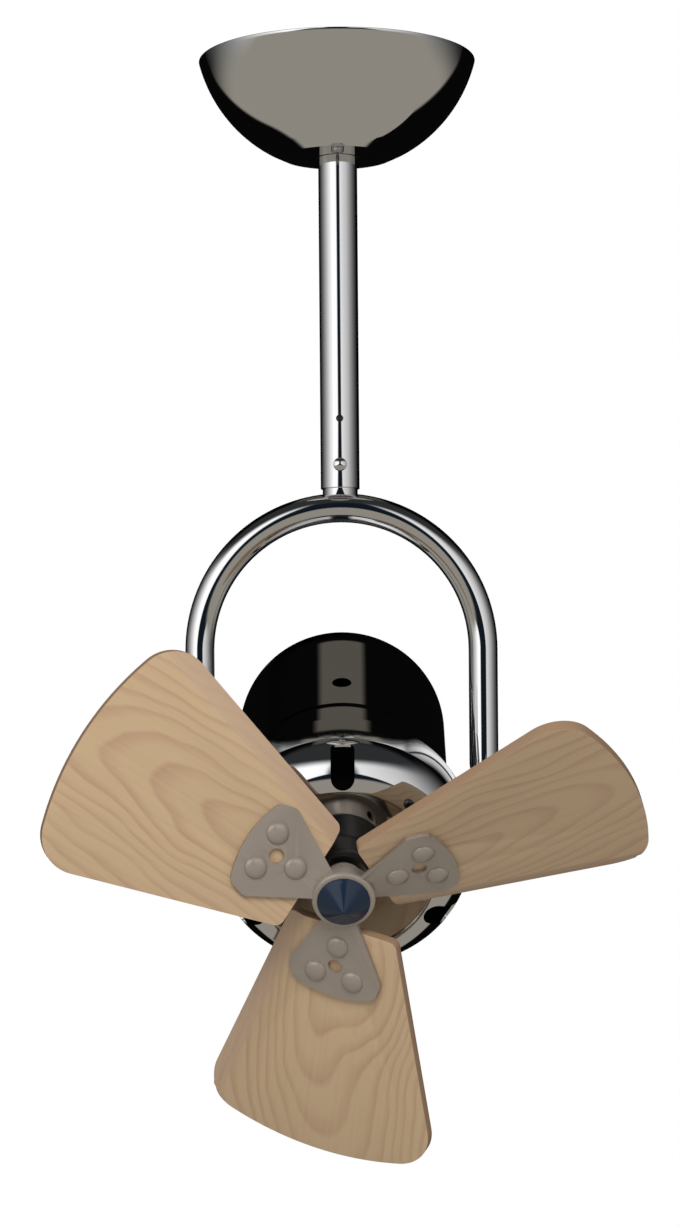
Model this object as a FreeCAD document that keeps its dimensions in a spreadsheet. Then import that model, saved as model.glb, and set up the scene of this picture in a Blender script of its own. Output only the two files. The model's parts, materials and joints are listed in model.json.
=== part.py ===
import FreeCAD
import Part
import Sketcher
import math
import os

# Directional ceiling fan: a bowl canopy on the ceiling, a short rod, a bent tube yoke that turns on the
# rod, and a motor head that tilts in the yoke and spins three wooden blades.
# Lengths are millimetres and angles are degrees. The origin is on the ceiling, above the rod, +Z is up and
# the fan looks towards -Y. The head is drawn along its own Z axis, which is the motor shaft pointing
# forward, with its origin where the tilt axis crosses the shaft.

SIZES = {
    # shared by many pieces
    "hole_play": 0.1,
    "cut_overrun": 1.0,
    "screw_head_top_share": 0.7,
    "screw_head_side_share": 0.5,
    # hanger bracket: a strip bent to a hat shape, bolted to the ceiling box
    "bracket_hole_spacing": 88.9,
    "bracket_slot_width": 5.0,
    "bracket_slot_length": 11.0,
    "bracket_end_margin": 11.0,
    "bracket_width": 36.0,
    "bracket_thickness": 2.5,
    "bracket_span": 70.0,
    "bracket_drop": 38.0,
    "bracket_bend": 5.0,
    # half ball that seats in the bracket and carries the rod
    "ball_radius": 18.0,
    "ball_seat_radius": 14.5,
    "ball_top": 9.0,
    "ball_bottom": 13.0,
    "ball_pin_diameter": 6.0,
    "ball_pin_inset": 1.0,
    # canopy bowl
    "canopy_radius": 75.5,
    "canopy_bulge_radius": 77.6,
    "canopy_depth": 53.5,
    "canopy_floor_radius": 30.0,
    "canopy_wall": 1.2,
    "canopy_ceiling_gap": 1.0,
    "canopy_rim_band": 5.0,
    "canopy_rim_round": 4.0,
    "canopy_lip": 6.0,
    "canopy_rod_gap": 0.8,
    "canopy_screw_offset": 23.8,
    "canopy_screw_diameter": 4.0,
    "canopy_screw_head": 7.0,
    "canopy_screw_head_height": 2.6,
    "canopy_screw_past": 2.0,
    # rod
    "rod_diameter": 21.3,
    "rod_wall": 2.0,
    "rod_length": 217.0,
    "rod_above_ball": 7.0,
    "rod_end_gap": 0.4,
    # stem of the yoke, turning inside the rod
    "stem_play": 0.06,
    "stem_spigot": 46.0,
    "stem_collar_height": 4.0,
    "stem_collar_inset": 0.6,
    "stem_bore": 9.0,
    "swivel_pin_height": 12.2,
    "swivel_pin_diameter": 7.4,
    "swivel_groove_depth": 2.5,
    "swivel_groove_play": 0.4,
    "lock_screw_height": 37.3,
    "lock_screw_diameter": 4.0,
    "lock_screw_recess": 1.2,
    "lock_screw_gap": 0.2,
    # yoke tube
    "yoke_tube_diameter": 18.0,
    "yoke_tube_wall": 1.5,
    "yoke_leg": 88.0,
    "yoke_round_end": 28.0,
    "yoke_flat_end": 12.0,
    "yoke_eye_thickness": 8.0,
    "yoke_eye_width": 23.6,
    # tilt pivot
    "pivot_bolt_diameter": 8.0,
    "pivot_bolt_head": 17.0,
    "pivot_bolt_head_height": 6.5,
    "pivot_bolt_head_round": 5.2,
    "pivot_bolt_inside": 4.0,
    "pivot_socket_diameter": 5.6,
    "pivot_socket_depth": 3.9,
    "pivot_play": 0.05,
    "pivot_washer_diameter": 20.0,
    "pivot_washer_thickness": 1.5,
    "friction_washer_diameter": 22.0,
    "friction_washer_thickness": 2.0,
    "pivot_boss_diameter": 26.0,
    "pivot_boss_reach": 10.2,
    "pivot_side_gap": 0.1,
    # motor head
    "head_tilt": 31.3,
    "shell_radius": 60.4,
    "shell_wall": 1.5,
    "shell_shoulder_drop": 2.0,
    "shell_shoulder_length": 9.0,
    "seam_behind_pivot": 20.0,
    "rear_cover_spigot": 14.0,
    "rear_cover_fit": 0.1,
    "rear_cover_length": 122.0,
    "rear_cover_dome": 50.0,
    "rear_hole_diameter": 10.7,
    "rear_hole_behind_seam": 23.5,
    "rear_screw_ahead_of_seam": 11.0,
    "rear_screw_spread": 55.0,
    "rear_screw_past": 2.0,
    "rear_screw_diameter": 3.0,
    "rear_screw_head": 5.5,
    "rear_screw_head_height": 1.8,
    # front cover, a pressed pan with a round edge
    "cover_radius": 69.0,
    "cover_back": 17.0,
    "cover_front": 63.0,
    "cover_edge_round": 25.0,
    "cover_wall": 1.4,
    "cover_step_radius": 48.5,
    "cover_step": 1.8,
    "cover_step_round": 1.0,
    "cover_dish": 52.0,
    "cover_slot_inner": 50.4,
    "cover_slot_width": 12.6,
    "cover_slot_floor": 44.2,
    "cover_slot_corner": 3.0,
    "cover_slot_count": 3,
    "cover_screw_count": 3,
    "cover_screw_radius": 54.0,
    "cover_screw_angle": 50.0,
    "cover_screw_diameter": 3.5,
    "cover_screw_head": 5.6,
    "cover_screw_head_height": 1.8,
    "cover_screw_grip": 7.0,
    "cover_seat_diameter": 6.6,
    "cover_seat_margin": 0.4,
    "flange_inset": 0.5,
    # bearing shields
    "shield_thickness": 3.0,
    "nose_radius": 17.0,
    "nose_front": 66.5,
    "nose_edge_round": 2.0,
    "nose_cover_gap": 0.3,
    "shield_post_diameter": 6.0,
    "rear_shield_radius": 48.0,
    "bearing_diameter": 26.0,
    "bearing_width": 8.0,
    "bearing_wall": 3.0,
    "bearing_inset": 3.0,
    "bearing_race": 2.2,
    "bearing_shield_sunk": 0.6,
    # motor
    "stator_radius": 47.0,
    "stator_back": -14.0,
    "stator_length": 26.0,
    "stator_slot_bottom": 35.0,
    "stator_slot_count": 16,
    "stator_slot_width": 5.0,
    "stator_slot_base_width": 8.0,
    "stator_slot_opening": 3.5,
    "stator_slot_round": 1.5,
    "stator_tooth_tip": 2.0,
    "air_gap": 0.5,
    "rotor_radius": 22.0,
    "rotor_end_ring": 4.0,
    "rotor_end_ring_wall": 6.0,
    "rotor_end_ring_taper": 1.0,
    "winding_height": 6.5,
    "winding_round": 2.9,
    "winding_inner_gap": 2.5,
    "rear_shield_gap": 10.0,
    "tie_bolt_count": 4,
    "tie_bolt_angle": 45.0,
    "tie_bolt_circle": 42.0,
    "tie_bolt_diameter": 4.0,
    "tie_bolt_head": 7.0,
    "tie_bolt_head_height": 2.6,
    "tie_bolt_past": 3.0,
    "tie_standoff_diameter": 8.0,
    "capacitor_width": 36.0,
    "capacitor_depth": 16.0,
    "capacitor_height": 26.0,
    "capacitor_round": 3.2,
    "capacitor_offset": 29.0,
    "shaft_diameter": 10.0,
    "shaft_play": 0.05,
    "shaft_thread_diameter": 8.0,
    "shaft_thread_length": 6.0,
    # blade spider
    "blade_turn": 23.5,
    "blade_count": 3,
    "blade_pitch": 23.2,
    "spider_plane": 87.0,
    "hub_front": 91.0,
    "hub_back": 79.5,
    "hub_radius": 17.1,
    "hub_front_round": 2.0,
    "hub_taper": 1.6,
    "hub_sleeve_radius": 11.0,
    "hub_sleeve_back": 69.0,
    "hub_sleeve_round": 1.0,
    "hub_screw_diameter": 5.0,
    "hub_screw_recess": 0.5,
    "hub_screw_socket_diameter": 2.5,
    "hub_screw_socket_depth": 2.0,
    "arm_thickness": 2.5,
    "arm_outer_radius": 62.0,
    "arm_corner_reach": 47.0,
    "arm_corner_width": 53.6,
    "arm_tip_width": 48.0,
    "arm_corner_round": 2.5,
    "arm_root_reach": 12.0,
    "arm_root_width": 16.0,
    "arm_hole_diameter": 8.2,
    "rivet_centre": 43.3,
    "rivet_circle": 12.3,
    "rivet_head_diameter": 11.7,
    "rivet_head_height": 2.8,
    "rivet_shank_diameter": 5.0,
    "rivet_tail_diameter": 9.0,
    "rivet_tail_height": 1.2,
    # blades
    "blade_tip_radius": 164.0,
    "blade_tip_width": 138.3,
    "blade_tip_round": 20.5,
    "blade_root_reach": 20.0,
    "blade_root_width": 61.6,
    "blade_root_round": 5.0,
    "blade_thickness": 6.0,
    "blade_bevel_width": 8.0,
    "blade_bevel_depth": 3.5,
    # nose cone
    "cone_radius": 14.0,
    "cone_base": 0.8,
    "cone_height": 11.5,
    "cone_base_round": 0.4,
    "cone_tip_round": 1.5,
}

LEAST_CUT = 0.01

doc = FreeCAD.newDocument("directional_ceiling_fan")
sheet = doc.addObject("Spreadsheet::Sheet", "sizes")


class Size:
    """A length or angle that knows both its number and the sheet formula that gives it."""

    def __init__(self, number, formula):
        self.number = number
        self.formula = formula

    def __add__(self, other):
        other = size(other)
        return Size(self.number + other.number, "(%s + %s)" % (self.formula, other.formula))

    def __sub__(self, other):
        other = size(other)
        return Size(self.number - other.number, "(%s - %s)" % (self.formula, other.formula))

    def __mul__(self, other):
        other = size(other)
        return Size(self.number * other.number, "(%s * %s)" % (self.formula, other.formula))

    def __truediv__(self, other):
        other = size(other)
        return Size(self.number / other.number, "(%s / %s)" % (self.formula, other.formula))

    def __neg__(self):
        return Size(-self.number, "(-1 * %s)" % self.formula)

    def __radd__(self, other):
        return size(other) + self

    def __rsub__(self, other):
        return size(other) - self

    def __rmul__(self, other):
        return size(other) * self


def size(value):
    if isinstance(value, Size):
        return value
    return Size(float(value), "%.9g" % value)


def root(value):
    return Size(math.sqrt(value.number), "sqrt(%s)" % value.formula)


def sine(angle):
    angle = size(angle)
    return Size(math.sin(math.radians(angle.number)), "sin(%s)" % angle.formula)


def cosine(angle):
    angle = size(angle)
    return Size(math.cos(math.radians(angle.number)), "cos(%s)" % angle.formula)


def arc_tangent(value):
    return Size(math.degrees(math.atan(value.number)), "atan(%s) / 1 deg" % value.formula)


def fill_sheet():
    named = {}
    for row, (alias, number) in enumerate(SIZES.items(), start=1):
        sheet.set("A%d" % row, alias)
        sheet.set("B%d" % row, "%.9g" % number)
        sheet.setAlias("B%d" % row, alias)
        named[alias] = Size(float(number), "sizes." + alias)
    doc.recompute()
    return named


S = fill_sheet()


# Places

def place(x=0, y=0, z=0, axis=(0, 0, 1), angle=0):
    """Formula of a placement: a turn about an axis, then a shift."""
    spot = "vector(%s; %s; %s)" % (size(x).formula, size(y).formula, size(z).formula)
    turn = "rotation(vector(%g; %g; %g); %s)" % (axis + (size(angle).formula,))
    return "placement(%s; %s)" % (spot, turn)


def chain(*places):
    return " * ".join(places)


X_AXIS = (1, 0, 0)
Y_AXIS = (0, 1, 0)
FOUR_CORNERS = ((-1, -1), (1, -1), (1, 1), (-1, 1))

rod_radius = S["rod_diameter"] / 2
rod_bore = rod_radius - S["rod_wall"]
bracket_seat = S["bracket_thickness"] - S["bracket_drop"]
canopy_screw_hole = S["canopy_screw_diameter"] / 2 + S["hole_play"]
ball_rise = root(S["ball_radius"] * S["ball_radius"] - S["ball_seat_radius"] * S["ball_seat_radius"])
ball_z = bracket_seat + ball_rise
rod_top = ball_z + S["rod_above_ball"]
rod_bottom = rod_top - S["rod_length"]
yoke_top = rod_bottom - S["rod_end_gap"] - S["stem_collar_height"]
tube_radius = S["yoke_tube_diameter"] / 2
boss_end = S["shell_radius"] + S["pivot_boss_reach"]
friction_outer = boss_end + S["friction_washer_thickness"]
eye_inner = friction_outer + S["pivot_side_gap"]
yoke_radius = eye_inner + S["yoke_eye_thickness"] / 2
eye_outer = eye_inner + S["yoke_eye_thickness"]
washer_inner = eye_outer + S["pivot_side_gap"]
pivot_z = yoke_top - tube_radius - yoke_radius - S["yoke_leg"]
pivot_to_rod_end = rod_bottom - pivot_z

CEILING = place()
YOKE = place(z=pivot_z)
HEAD = place(z=pivot_z, axis=X_AXIS, angle=S["head_tilt"] + 90)
SPINNER = chain(HEAD, place(angle=S["blade_turn"]))


# Drawing helpers

def new_body(label, where):
    body = doc.addObject("PartDesign::Body", label)
    body.Label = label
    body.setExpression("Placement", where)
    return body


def new_sketch(body, plane, offset=None):
    """Sketch on one of the body's own origin planes, moved by a placement formula if one is given."""
    sketch = body.newObject("Sketcher::SketchObject", body.Name + "_sketch")
    origin = [part for part in body.Origin.OriginFeatures if part.Role == plane][0]
    sketch.AttachmentSupport = [(origin, "")]
    sketch.MapMode = "FlatFace"
    if offset:
        sketch.setExpression("AttachmentOffset", offset)
    return sketch


def bind(sketch, constraints):
    """Adds constraints and ties each one that has a size to the sheet."""
    first = sketch.ConstraintCount
    sketch.addConstraint([constraint for constraint, value in constraints])
    for step, (constraint, value) in enumerate(constraints):
        if value is not None:
            sketch.setExpression("Constraints[%d]" % (first + step), value.formula)


def pin(geometry, end, x, y):
    """Constraints that hold one end of a curve at x, y from the sketch's origin."""
    held = []
    for kind, axis, value in (("DistanceX", -2, x), ("DistanceY", -1, y)):
        if isinstance(value, Size):
            held.append((Sketcher.Constraint(kind, -1, 1, geometry, end, value.number), value))
        elif value:
            held.append((Sketcher.Constraint(kind, -1, 1, geometry, end, value), None))
        else:
            held.append((Sketcher.Constraint("PointOnObject", geometry, end, axis), None))
    return held


def heading(start, end, bend, at_end):
    """Direction of travel at one end of an edge that is straight or bends with a signed radius."""
    along = (end - start).normalize()
    if not bend:
        return along
    half = math.asin(start.distanceToPoint(end) / 2 / abs(bend))
    turn = math.copysign(half, bend) * (1 if at_end else -1)
    return FreeCAD.Vector(along.x * math.cos(turn) - along.y * math.sin(turn),
                          along.x * math.sin(turn) + along.y * math.cos(turn), 0)


def arc_between(start, end, bend):
    """Arc from start to end, turning left when the radius is positive."""
    along = end - start
    chord = along.Length
    along.normalize()
    left = FreeCAD.Vector(-along.y, along.x, 0)
    rise = math.sqrt(max(bend * bend - chord * chord / 4, 0))
    centre = (start + end) * 0.5 + left * math.copysign(rise, bend)
    first, last = (start, end) if bend > 0 else (end, start)
    angle_first = math.atan2(first.y - centre.y, first.x - centre.x)
    angle_last = math.atan2(last.y - centre.y, last.x - centre.x)
    circle = Part.Circle(centre, Z_UP, abs(bend))
    return Part.ArcOfCircle(circle, angle_first, angle_last)


Z_UP = FreeCAD.Vector(0, 0, 1)


def draw(sketch, corners):
    """Closed outline. A corner is (x, y) with an optional dict: "round" rounds it off with that radius,
    "left" or "right" makes the edge to the next corner an arc of that radius, turning that way."""
    count = len(corners)
    notes = [corner[2] if len(corner) > 2 else {} for corner in corners]
    spots = [FreeCAD.Vector(size(corner[0]).number, size(corner[1]).number, 0) for corner in corners]
    bends = []
    for note in notes:
        bend = size(note["left"]).number if "left" in note else 0
        bends.append(-size(note["right"]).number if "right" in note else bend)
    arrive = [heading(spots[i - 1], spots[i], bends[i - 1], True) for i in range(count)]
    leave = [heading(spots[i], spots[(i + 1) % count], bends[i], False) for i in range(count)]
    trims = []
    for i, note in enumerate(notes):
        turn = math.atan2(arrive[i].x * leave[i].y - arrive[i].y * leave[i].x, arrive[i].dot(leave[i]))
        trims.append(abs(size(note["round"]).number * math.tan(turn / 2)) if "round" in note else 0)
    first = sketch.GeometryCount
    shapes = []
    ends = []
    for i in range(count):
        after = (i + 1) % count
        start = spots[i] + leave[i] * trims[i]
        end = spots[after] - arrive[after] * trims[after]
        if bends[i]:
            shapes.append(arc_between(start, end, bends[i]))
        else:
            shapes.append(Part.LineSegment(start, end))
        ends.append((2, 1) if bends[i] < 0 else (1, 2))
    sketch.addGeometry(shapes, False)
    held = []
    for i in range(count):
        before = (i - 1) % count
        came, came_end = first + before, ends[before][1]
        goes, goes_end = first + i, ends[i][0]
        x, y = corners[i][0], corners[i][1]
        if bends[i]:
            radius = size(notes[i].get("left", notes[i].get("right")))
            held.append((Sketcher.Constraint("Radius", goes, radius.number), radius))
        if "round" not in notes[i]:
            held.append((Sketcher.Constraint("Coincident", came, came_end, goes, goes_end), None))
            held.extend(pin(goes, goes_end, x, y))
            continue
        radius = size(notes[i]["round"])
        left_turn = arrive[i].x * leave[i].y - arrive[i].y * leave[i].x > 0
        bend = radius.number if left_turn else -radius.number
        curve = arc_between(spots[i] - arrive[i] * trims[i], spots[i] + leave[i] * trims[i], bend)
        arc = sketch.addGeometry(curve, False)
        corner = sketch.addGeometry(Part.Point(spots[i]), True)
        arc_in, arc_out = (1, 2) if left_turn else (2, 1)
        held.append((Sketcher.Constraint("Tangent", came, came_end, arc, arc_in), None))
        held.append((Sketcher.Constraint("Tangent", arc, arc_out, goes, goes_end), None))
        held.append((Sketcher.Constraint("Radius", arc, radius.number), radius))
        held.extend(pin(corner, 1, x, y))
        held.append((Sketcher.Constraint("PointOnObject", corner, 1, came), None))
        held.append((Sketcher.Constraint("PointOnObject", corner, 1, goes), None))
    bind(sketch, held)


def draw_circle(sketch, x, y, radius):
    radius = size(radius)
    spot = FreeCAD.Vector(size(x).number, size(y).number, 0)
    ring = sketch.addGeometry(Part.Circle(spot, Z_UP, radius.number), False)
    bind(sketch, [(Sketcher.Constraint("Radius", ring, radius.number), radius)] + pin(ring, 3, x, y))


def draw_slot(sketch, x_first, x_last, y, half_width):
    """Slot with round ends, along the sketch's x, between two end centres."""
    low, high = size(x_first).number, size(x_last).number
    level, half = size(y).number, half_width.number
    side = FreeCAD.Vector(0, half, 0)
    tail, front = FreeCAD.Vector(low, level, 0), FreeCAD.Vector(high, level, 0)
    quarter = math.pi / 2
    first = sketch.GeometryCount
    sketch.addGeometry([
        Part.LineSegment(tail - side, front - side),
        Part.ArcOfCircle(Part.Circle(front, Z_UP, half), -quarter, quarter),
        Part.LineSegment(front + side, tail + side),
        Part.ArcOfCircle(Part.Circle(tail, Z_UP, half), quarter, 3 * quarter),
    ], False)
    held = []
    for i in range(4):
        joined = (first + i, 2, first + (i + 1) % 4, 1)
        held.append((Sketcher.Constraint("Tangent", *joined), None))
    for arc, x in ((first + 1, x_last), (first + 3, x_first)):
        held.append((Sketcher.Constraint("Radius", arc, half), half_width))
        held.extend(pin(arc, 3, x, y))
    bind(sketch, held)


def revolve(body, corners, feature="PartDesign::Revolution"):
    """Turns an outline of (radius, height) corners about the body's Z axis."""
    sketch = new_sketch(body, "XZ_Plane")
    draw(sketch, corners)
    turned = body.newObject(feature, body.Name + "_turned")
    turned.Profile = sketch
    turned.ReferenceAxis = (sketch, ["V_Axis"])
    turned.Angle = 360
    doc.recompute()
    return turned


def pad(body, sketch, length, back=False, both_ways=False):
    grown = body.newObject("PartDesign::Pad", body.Name + "_pad")
    grown.Profile = sketch
    grown.setExpression("Length", size(length).formula)
    grown.Reversed = back
    grown.Midplane = both_ways
    doc.recompute()
    return grown


def pocket(body, sketch, length, back=False, both_ways=False):
    """Cuts into the body and makes sure that material came away."""
    before = body.Shape.Volume
    cut = body.newObject("PartDesign::Pocket", body.Name + "_pocket")
    cut.Profile = sketch
    cut.setExpression("Length", size(length).formula)
    cut.Reversed = back
    cut.Midplane = both_ways
    doc.recompute()
    if body.Shape.Volume > before - LEAST_CUT:
        raise RuntimeError(body.Label + ": a cut takes nothing away")
    return cut


def repeat_round(body, features, count):
    """Repeats features about the body's Z axis."""
    pattern = body.newObject("PartDesign::PolarPattern", body.Name + "_pattern")
    pattern.Originals = features
    axis = [part for part in body.Origin.OriginFeatures if part.Role == "Z_Axis"][0]
    pattern.Axis = (axis, [""])
    pattern.Angle = 360
    if isinstance(count, Size):
        pattern.setExpression("Occurrences", count.formula)
    else:
        pattern.Occurrences = count
    body.Tip = pattern
    doc.recompute()
    return pattern


def rod_between(label, where, radius, start, end):
    """Plain cylinder along Z of a place, from start to end."""
    cylinder = doc.addObject("Part::Cylinder", label)
    cylinder.setExpression("Radius", size(radius).formula)
    cylinder.setExpression("Height", (size(end) - start).formula)
    cylinder.setExpression("Placement", chain(where, place(z=start)))
    return cylinder


def boolean(kind, label, base, tool):
    """Part::Cut or Part::Common of two objects, under its own label."""
    result = doc.addObject(kind, label)
    result.Label = label
    result.Base = base
    result.Tool = tool
    return result


def group(label, pieces):
    """Several separate solids under one label."""
    compound = doc.addObject("Part::Compound", label)
    compound.Label = label
    compound.Links = pieces
    return compound


nodes = []


def finish(piece):
    nodes.append(piece)
    return piece


def radial(angle, lift=0):
    """Formula of a place whose Z axis points outward from the Z axis, at an angle round it."""
    return chain(place(z=lift), place(angle=angle), place(axis=Y_AXIS, angle=90))


def pan_screw(label, where, shank, length, head, height):
    """Pan head screw whose head sits on the plane z = 0 and whose shank runs down to -length."""
    body = new_body(label, where)
    revolve(body, [
        (0, -length),
        (shank / 2, -length),
        (shank / 2, 0),
        (head / 2, 0),
        (head / 2, height * S["screw_head_side_share"]),
        (head / 2 * S["screw_head_top_share"], height),
        (0, height),
    ])
    return body


def share_of_turn(index, count):
    """Angle of one of several equal steps round a circle."""
    return Size(360.0 * index / SIZES[count], "(360 * %d / sizes.%s)" % (index, count))


def drill_outward(body, angle, height, radius, reach):
    """Hole from the body's Z axis straight outward, at an angle round it."""
    sketch = new_sketch(body, "XZ_Plane", place(axis=Y_AXIS, angle=angle + 90))
    draw_circle(sketch, 0, height, radius)
    pocket(body, sketch, reach, back=True)


# Ceiling pieces

def ceiling_bracket():
    body = new_body("ceiling_bracket", CEILING)
    thick, drop, bend = S["bracket_thickness"], S["bracket_drop"], S["bracket_bend"]
    foot = S["bracket_span"] / 2
    tip = S["bracket_hole_spacing"] / 2 + S["bracket_slot_length"] / 2 + S["bracket_end_margin"]
    tight = bend - thick
    sketch = new_sketch(body, "YZ_Plane")
    draw(sketch, [
        (-tip, -thick),
        (-foot, -thick, {"round": tight}),
        (-foot, -drop, {"round": bend}),
        (foot, -drop, {"round": bend}),
        (foot, -thick, {"round": tight}),
        (tip, -thick),
        (tip, 0),
        (foot - thick, 0, {"round": bend}),
        (foot - thick, thick - drop, {"round": tight}),
        (thick - foot, thick - drop, {"round": tight}),
        (thick - foot, 0, {"round": bend}),
        (-tip, 0),
    ])
    pad(body, sketch, S["bracket_width"], both_ways=True)
    over = S["cut_overrun"]
    seat = new_sketch(body, "XY_Plane", place(z=-drop - over))
    draw_circle(seat, 0, 0, S["ball_seat_radius"])
    for side in (-1, 1):
        draw_circle(seat, 0, S["canopy_screw_offset"] * side, canopy_screw_hole)
    pocket(body, seat, thick + over * 2, back=True)
    slots = new_sketch(body, "XY_Plane", place(z=-thick - over, angle=90))
    half = S["bracket_slot_width"] / 2
    reach = S["bracket_slot_length"] / 2 - half
    for side in (-1, 1):
        middle = S["bracket_hole_spacing"] / 2 * side
        draw_slot(slots, middle - reach, middle + reach, 0, half)
    pocket(body, slots, thick + over * 2, back=True)
    finish(body)


def hanger_ball():
    body = new_body("hanger_ball", place(z=ball_z))
    ball, top, bottom = S["ball_radius"], S["ball_top"], S["ball_bottom"]
    bore = rod_radius + S["hole_play"]
    revolve(body, [
        (bore, -bottom),
        (root(ball * ball - bottom * bottom), -bottom, {"left": ball}),
        (root(ball * ball - top * top), top),
        (bore, top),
    ])
    hole = new_sketch(body, "YZ_Plane")
    draw_circle(hole, 0, 0, S["ball_pin_diameter"] / 2 + S["hole_play"])
    pocket(body, hole, ball * 3, both_ways=True)
    finish(body)


def hanger_pin():
    half = S["ball_radius"] - S["ball_pin_inset"]
    pin_piece = rod_between("hanger_pin", chain(place(z=ball_z), place(axis=Y_AXIS, angle=90)),
                            S["ball_pin_diameter"] / 2, -half, half)
    finish(pin_piece)


def canopy():
    body = new_body("canopy", CEILING)
    wall, rim, gap = S["canopy_wall"], S["canopy_radius"], S["canopy_ceiling_gap"]
    floor, depth = S["canopy_floor_radius"], S["canopy_depth"]
    band = gap + S["canopy_rim_band"]
    bulge, lip = S["canopy_bulge_radius"], S["canopy_lip"]
    hole = rod_radius + S["canopy_rod_gap"]
    revolve(body, [
        (hole, -depth),
        (floor, -depth, {"left": bulge}),
        (rim, -band),
        (rim, -gap, {"round": S["canopy_rim_round"]}),
        (rim - lip, -gap),
        (rim - lip, -gap - wall),
        (rim - wall, -gap - wall, {"round": S["canopy_rim_round"] - wall}),
        (rim - wall, -band, {"right": bulge - wall}),
        (floor, wall - depth),
        (hole, wall - depth),
    ])
    over = S["cut_overrun"]
    holes = new_sketch(body, "XY_Plane", place(z=-depth - over))
    for side in (-1, 1):
        draw_circle(holes, 0, S["canopy_screw_offset"] * side, canopy_screw_hole)
    pocket(body, holes, wall + over * 2, back=True)
    finish(body)


def canopy_screws():
    screws = []
    for side, name in ((-1, "front"), (1, "back")):
        where = chain(place(y=S["canopy_screw_offset"] * side, z=-S["canopy_depth"]),
                      place(axis=X_AXIS, angle=180))
        length = S["canopy_depth"] + bracket_seat + S["canopy_screw_past"]
        screws.append(pan_screw("canopy_screw_" + name, where, S["canopy_screw_diameter"], length,
                                S["canopy_screw_head"], S["canopy_screw_head_height"]))
    finish(group("canopy_screws", screws))


def downrod():
    body = new_body("downrod", place(z=rod_bottom))
    length = S["rod_length"]
    revolve(body, [
        (rod_bore, 0),
        (rod_radius, 0),
        (rod_radius, length),
        (rod_bore, length),
    ])
    across = new_sketch(body, "YZ_Plane")
    draw_circle(across, 0, ball_z - rod_bottom, S["ball_pin_diameter"] / 2 + S["hole_play"])
    pocket(body, across, S["rod_diameter"] * 2, both_ways=True)
    facing = new_sketch(body, "XZ_Plane")
    draw_circle(facing, 0, S["swivel_pin_height"], S["swivel_pin_diameter"] / 2)
    draw_circle(facing, 0, S["lock_screw_height"], S["lock_screw_diameter"] / 2)
    pocket(body, facing, S["rod_diameter"], back=True)
    finish(body)


def facing_pin(label, height, diameter, outer, inner):
    """Round pin through the front wall of the rod, ending flush with a cylinder round the rod axis."""
    lying = chain(place(z=rod_bottom + height), place(axis=X_AXIS, angle=90))
    blank = rod_between(label + "_blank", lying, diameter / 2, inner,
                        rod_radius + S["cut_overrun"])
    skin = rod_between(label + "_skin", place(z=rod_bottom), outer, height - diameter, height + diameter)
    finish(boolean("Part::Common", label, blank, skin))


def yoke_stem():
    """Turned stem that hangs in the rod on the swivel pin and is coped onto the yoke tube."""
    body = new_body("yoke_stem_blank", YOKE)
    spigot = rod_bore - S["stem_play"]
    collar = rod_radius - S["stem_collar_inset"]
    end = pivot_to_rod_end
    shoulder = end - S["rod_end_gap"]
    groove = S["swivel_pin_diameter"] / 2 + S["swivel_groove_play"]
    middle = end + S["swivel_pin_height"]
    bore = S["stem_bore"] / 2
    revolve(body, [
        (bore, shoulder - S["stem_collar_height"] - tube_radius),
        (collar, shoulder - S["stem_collar_height"] - tube_radius),
        (collar, shoulder),
        (spigot, shoulder),
        (spigot, middle - groove),
        (spigot - S["swivel_groove_depth"], middle - groove),
        (spigot - S["swivel_groove_depth"], middle + groove),
        (spigot, middle + groove),
        (spigot, end + S["stem_spigot"]),
        (bore, end + S["stem_spigot"]),
    ])
    saddle = doc.addObject("Part::Torus", "yoke_saddle")
    saddle.setExpression("Radius1", yoke_radius.formula)
    saddle.setExpression("Radius2", tube_radius.formula)
    saddle.setExpression("Placement", place(z=pivot_z + S["yoke_leg"], axis=X_AXIS, angle=90))
    finish(boolean("Part::Cut", "yoke_stem", body, saddle))


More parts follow.
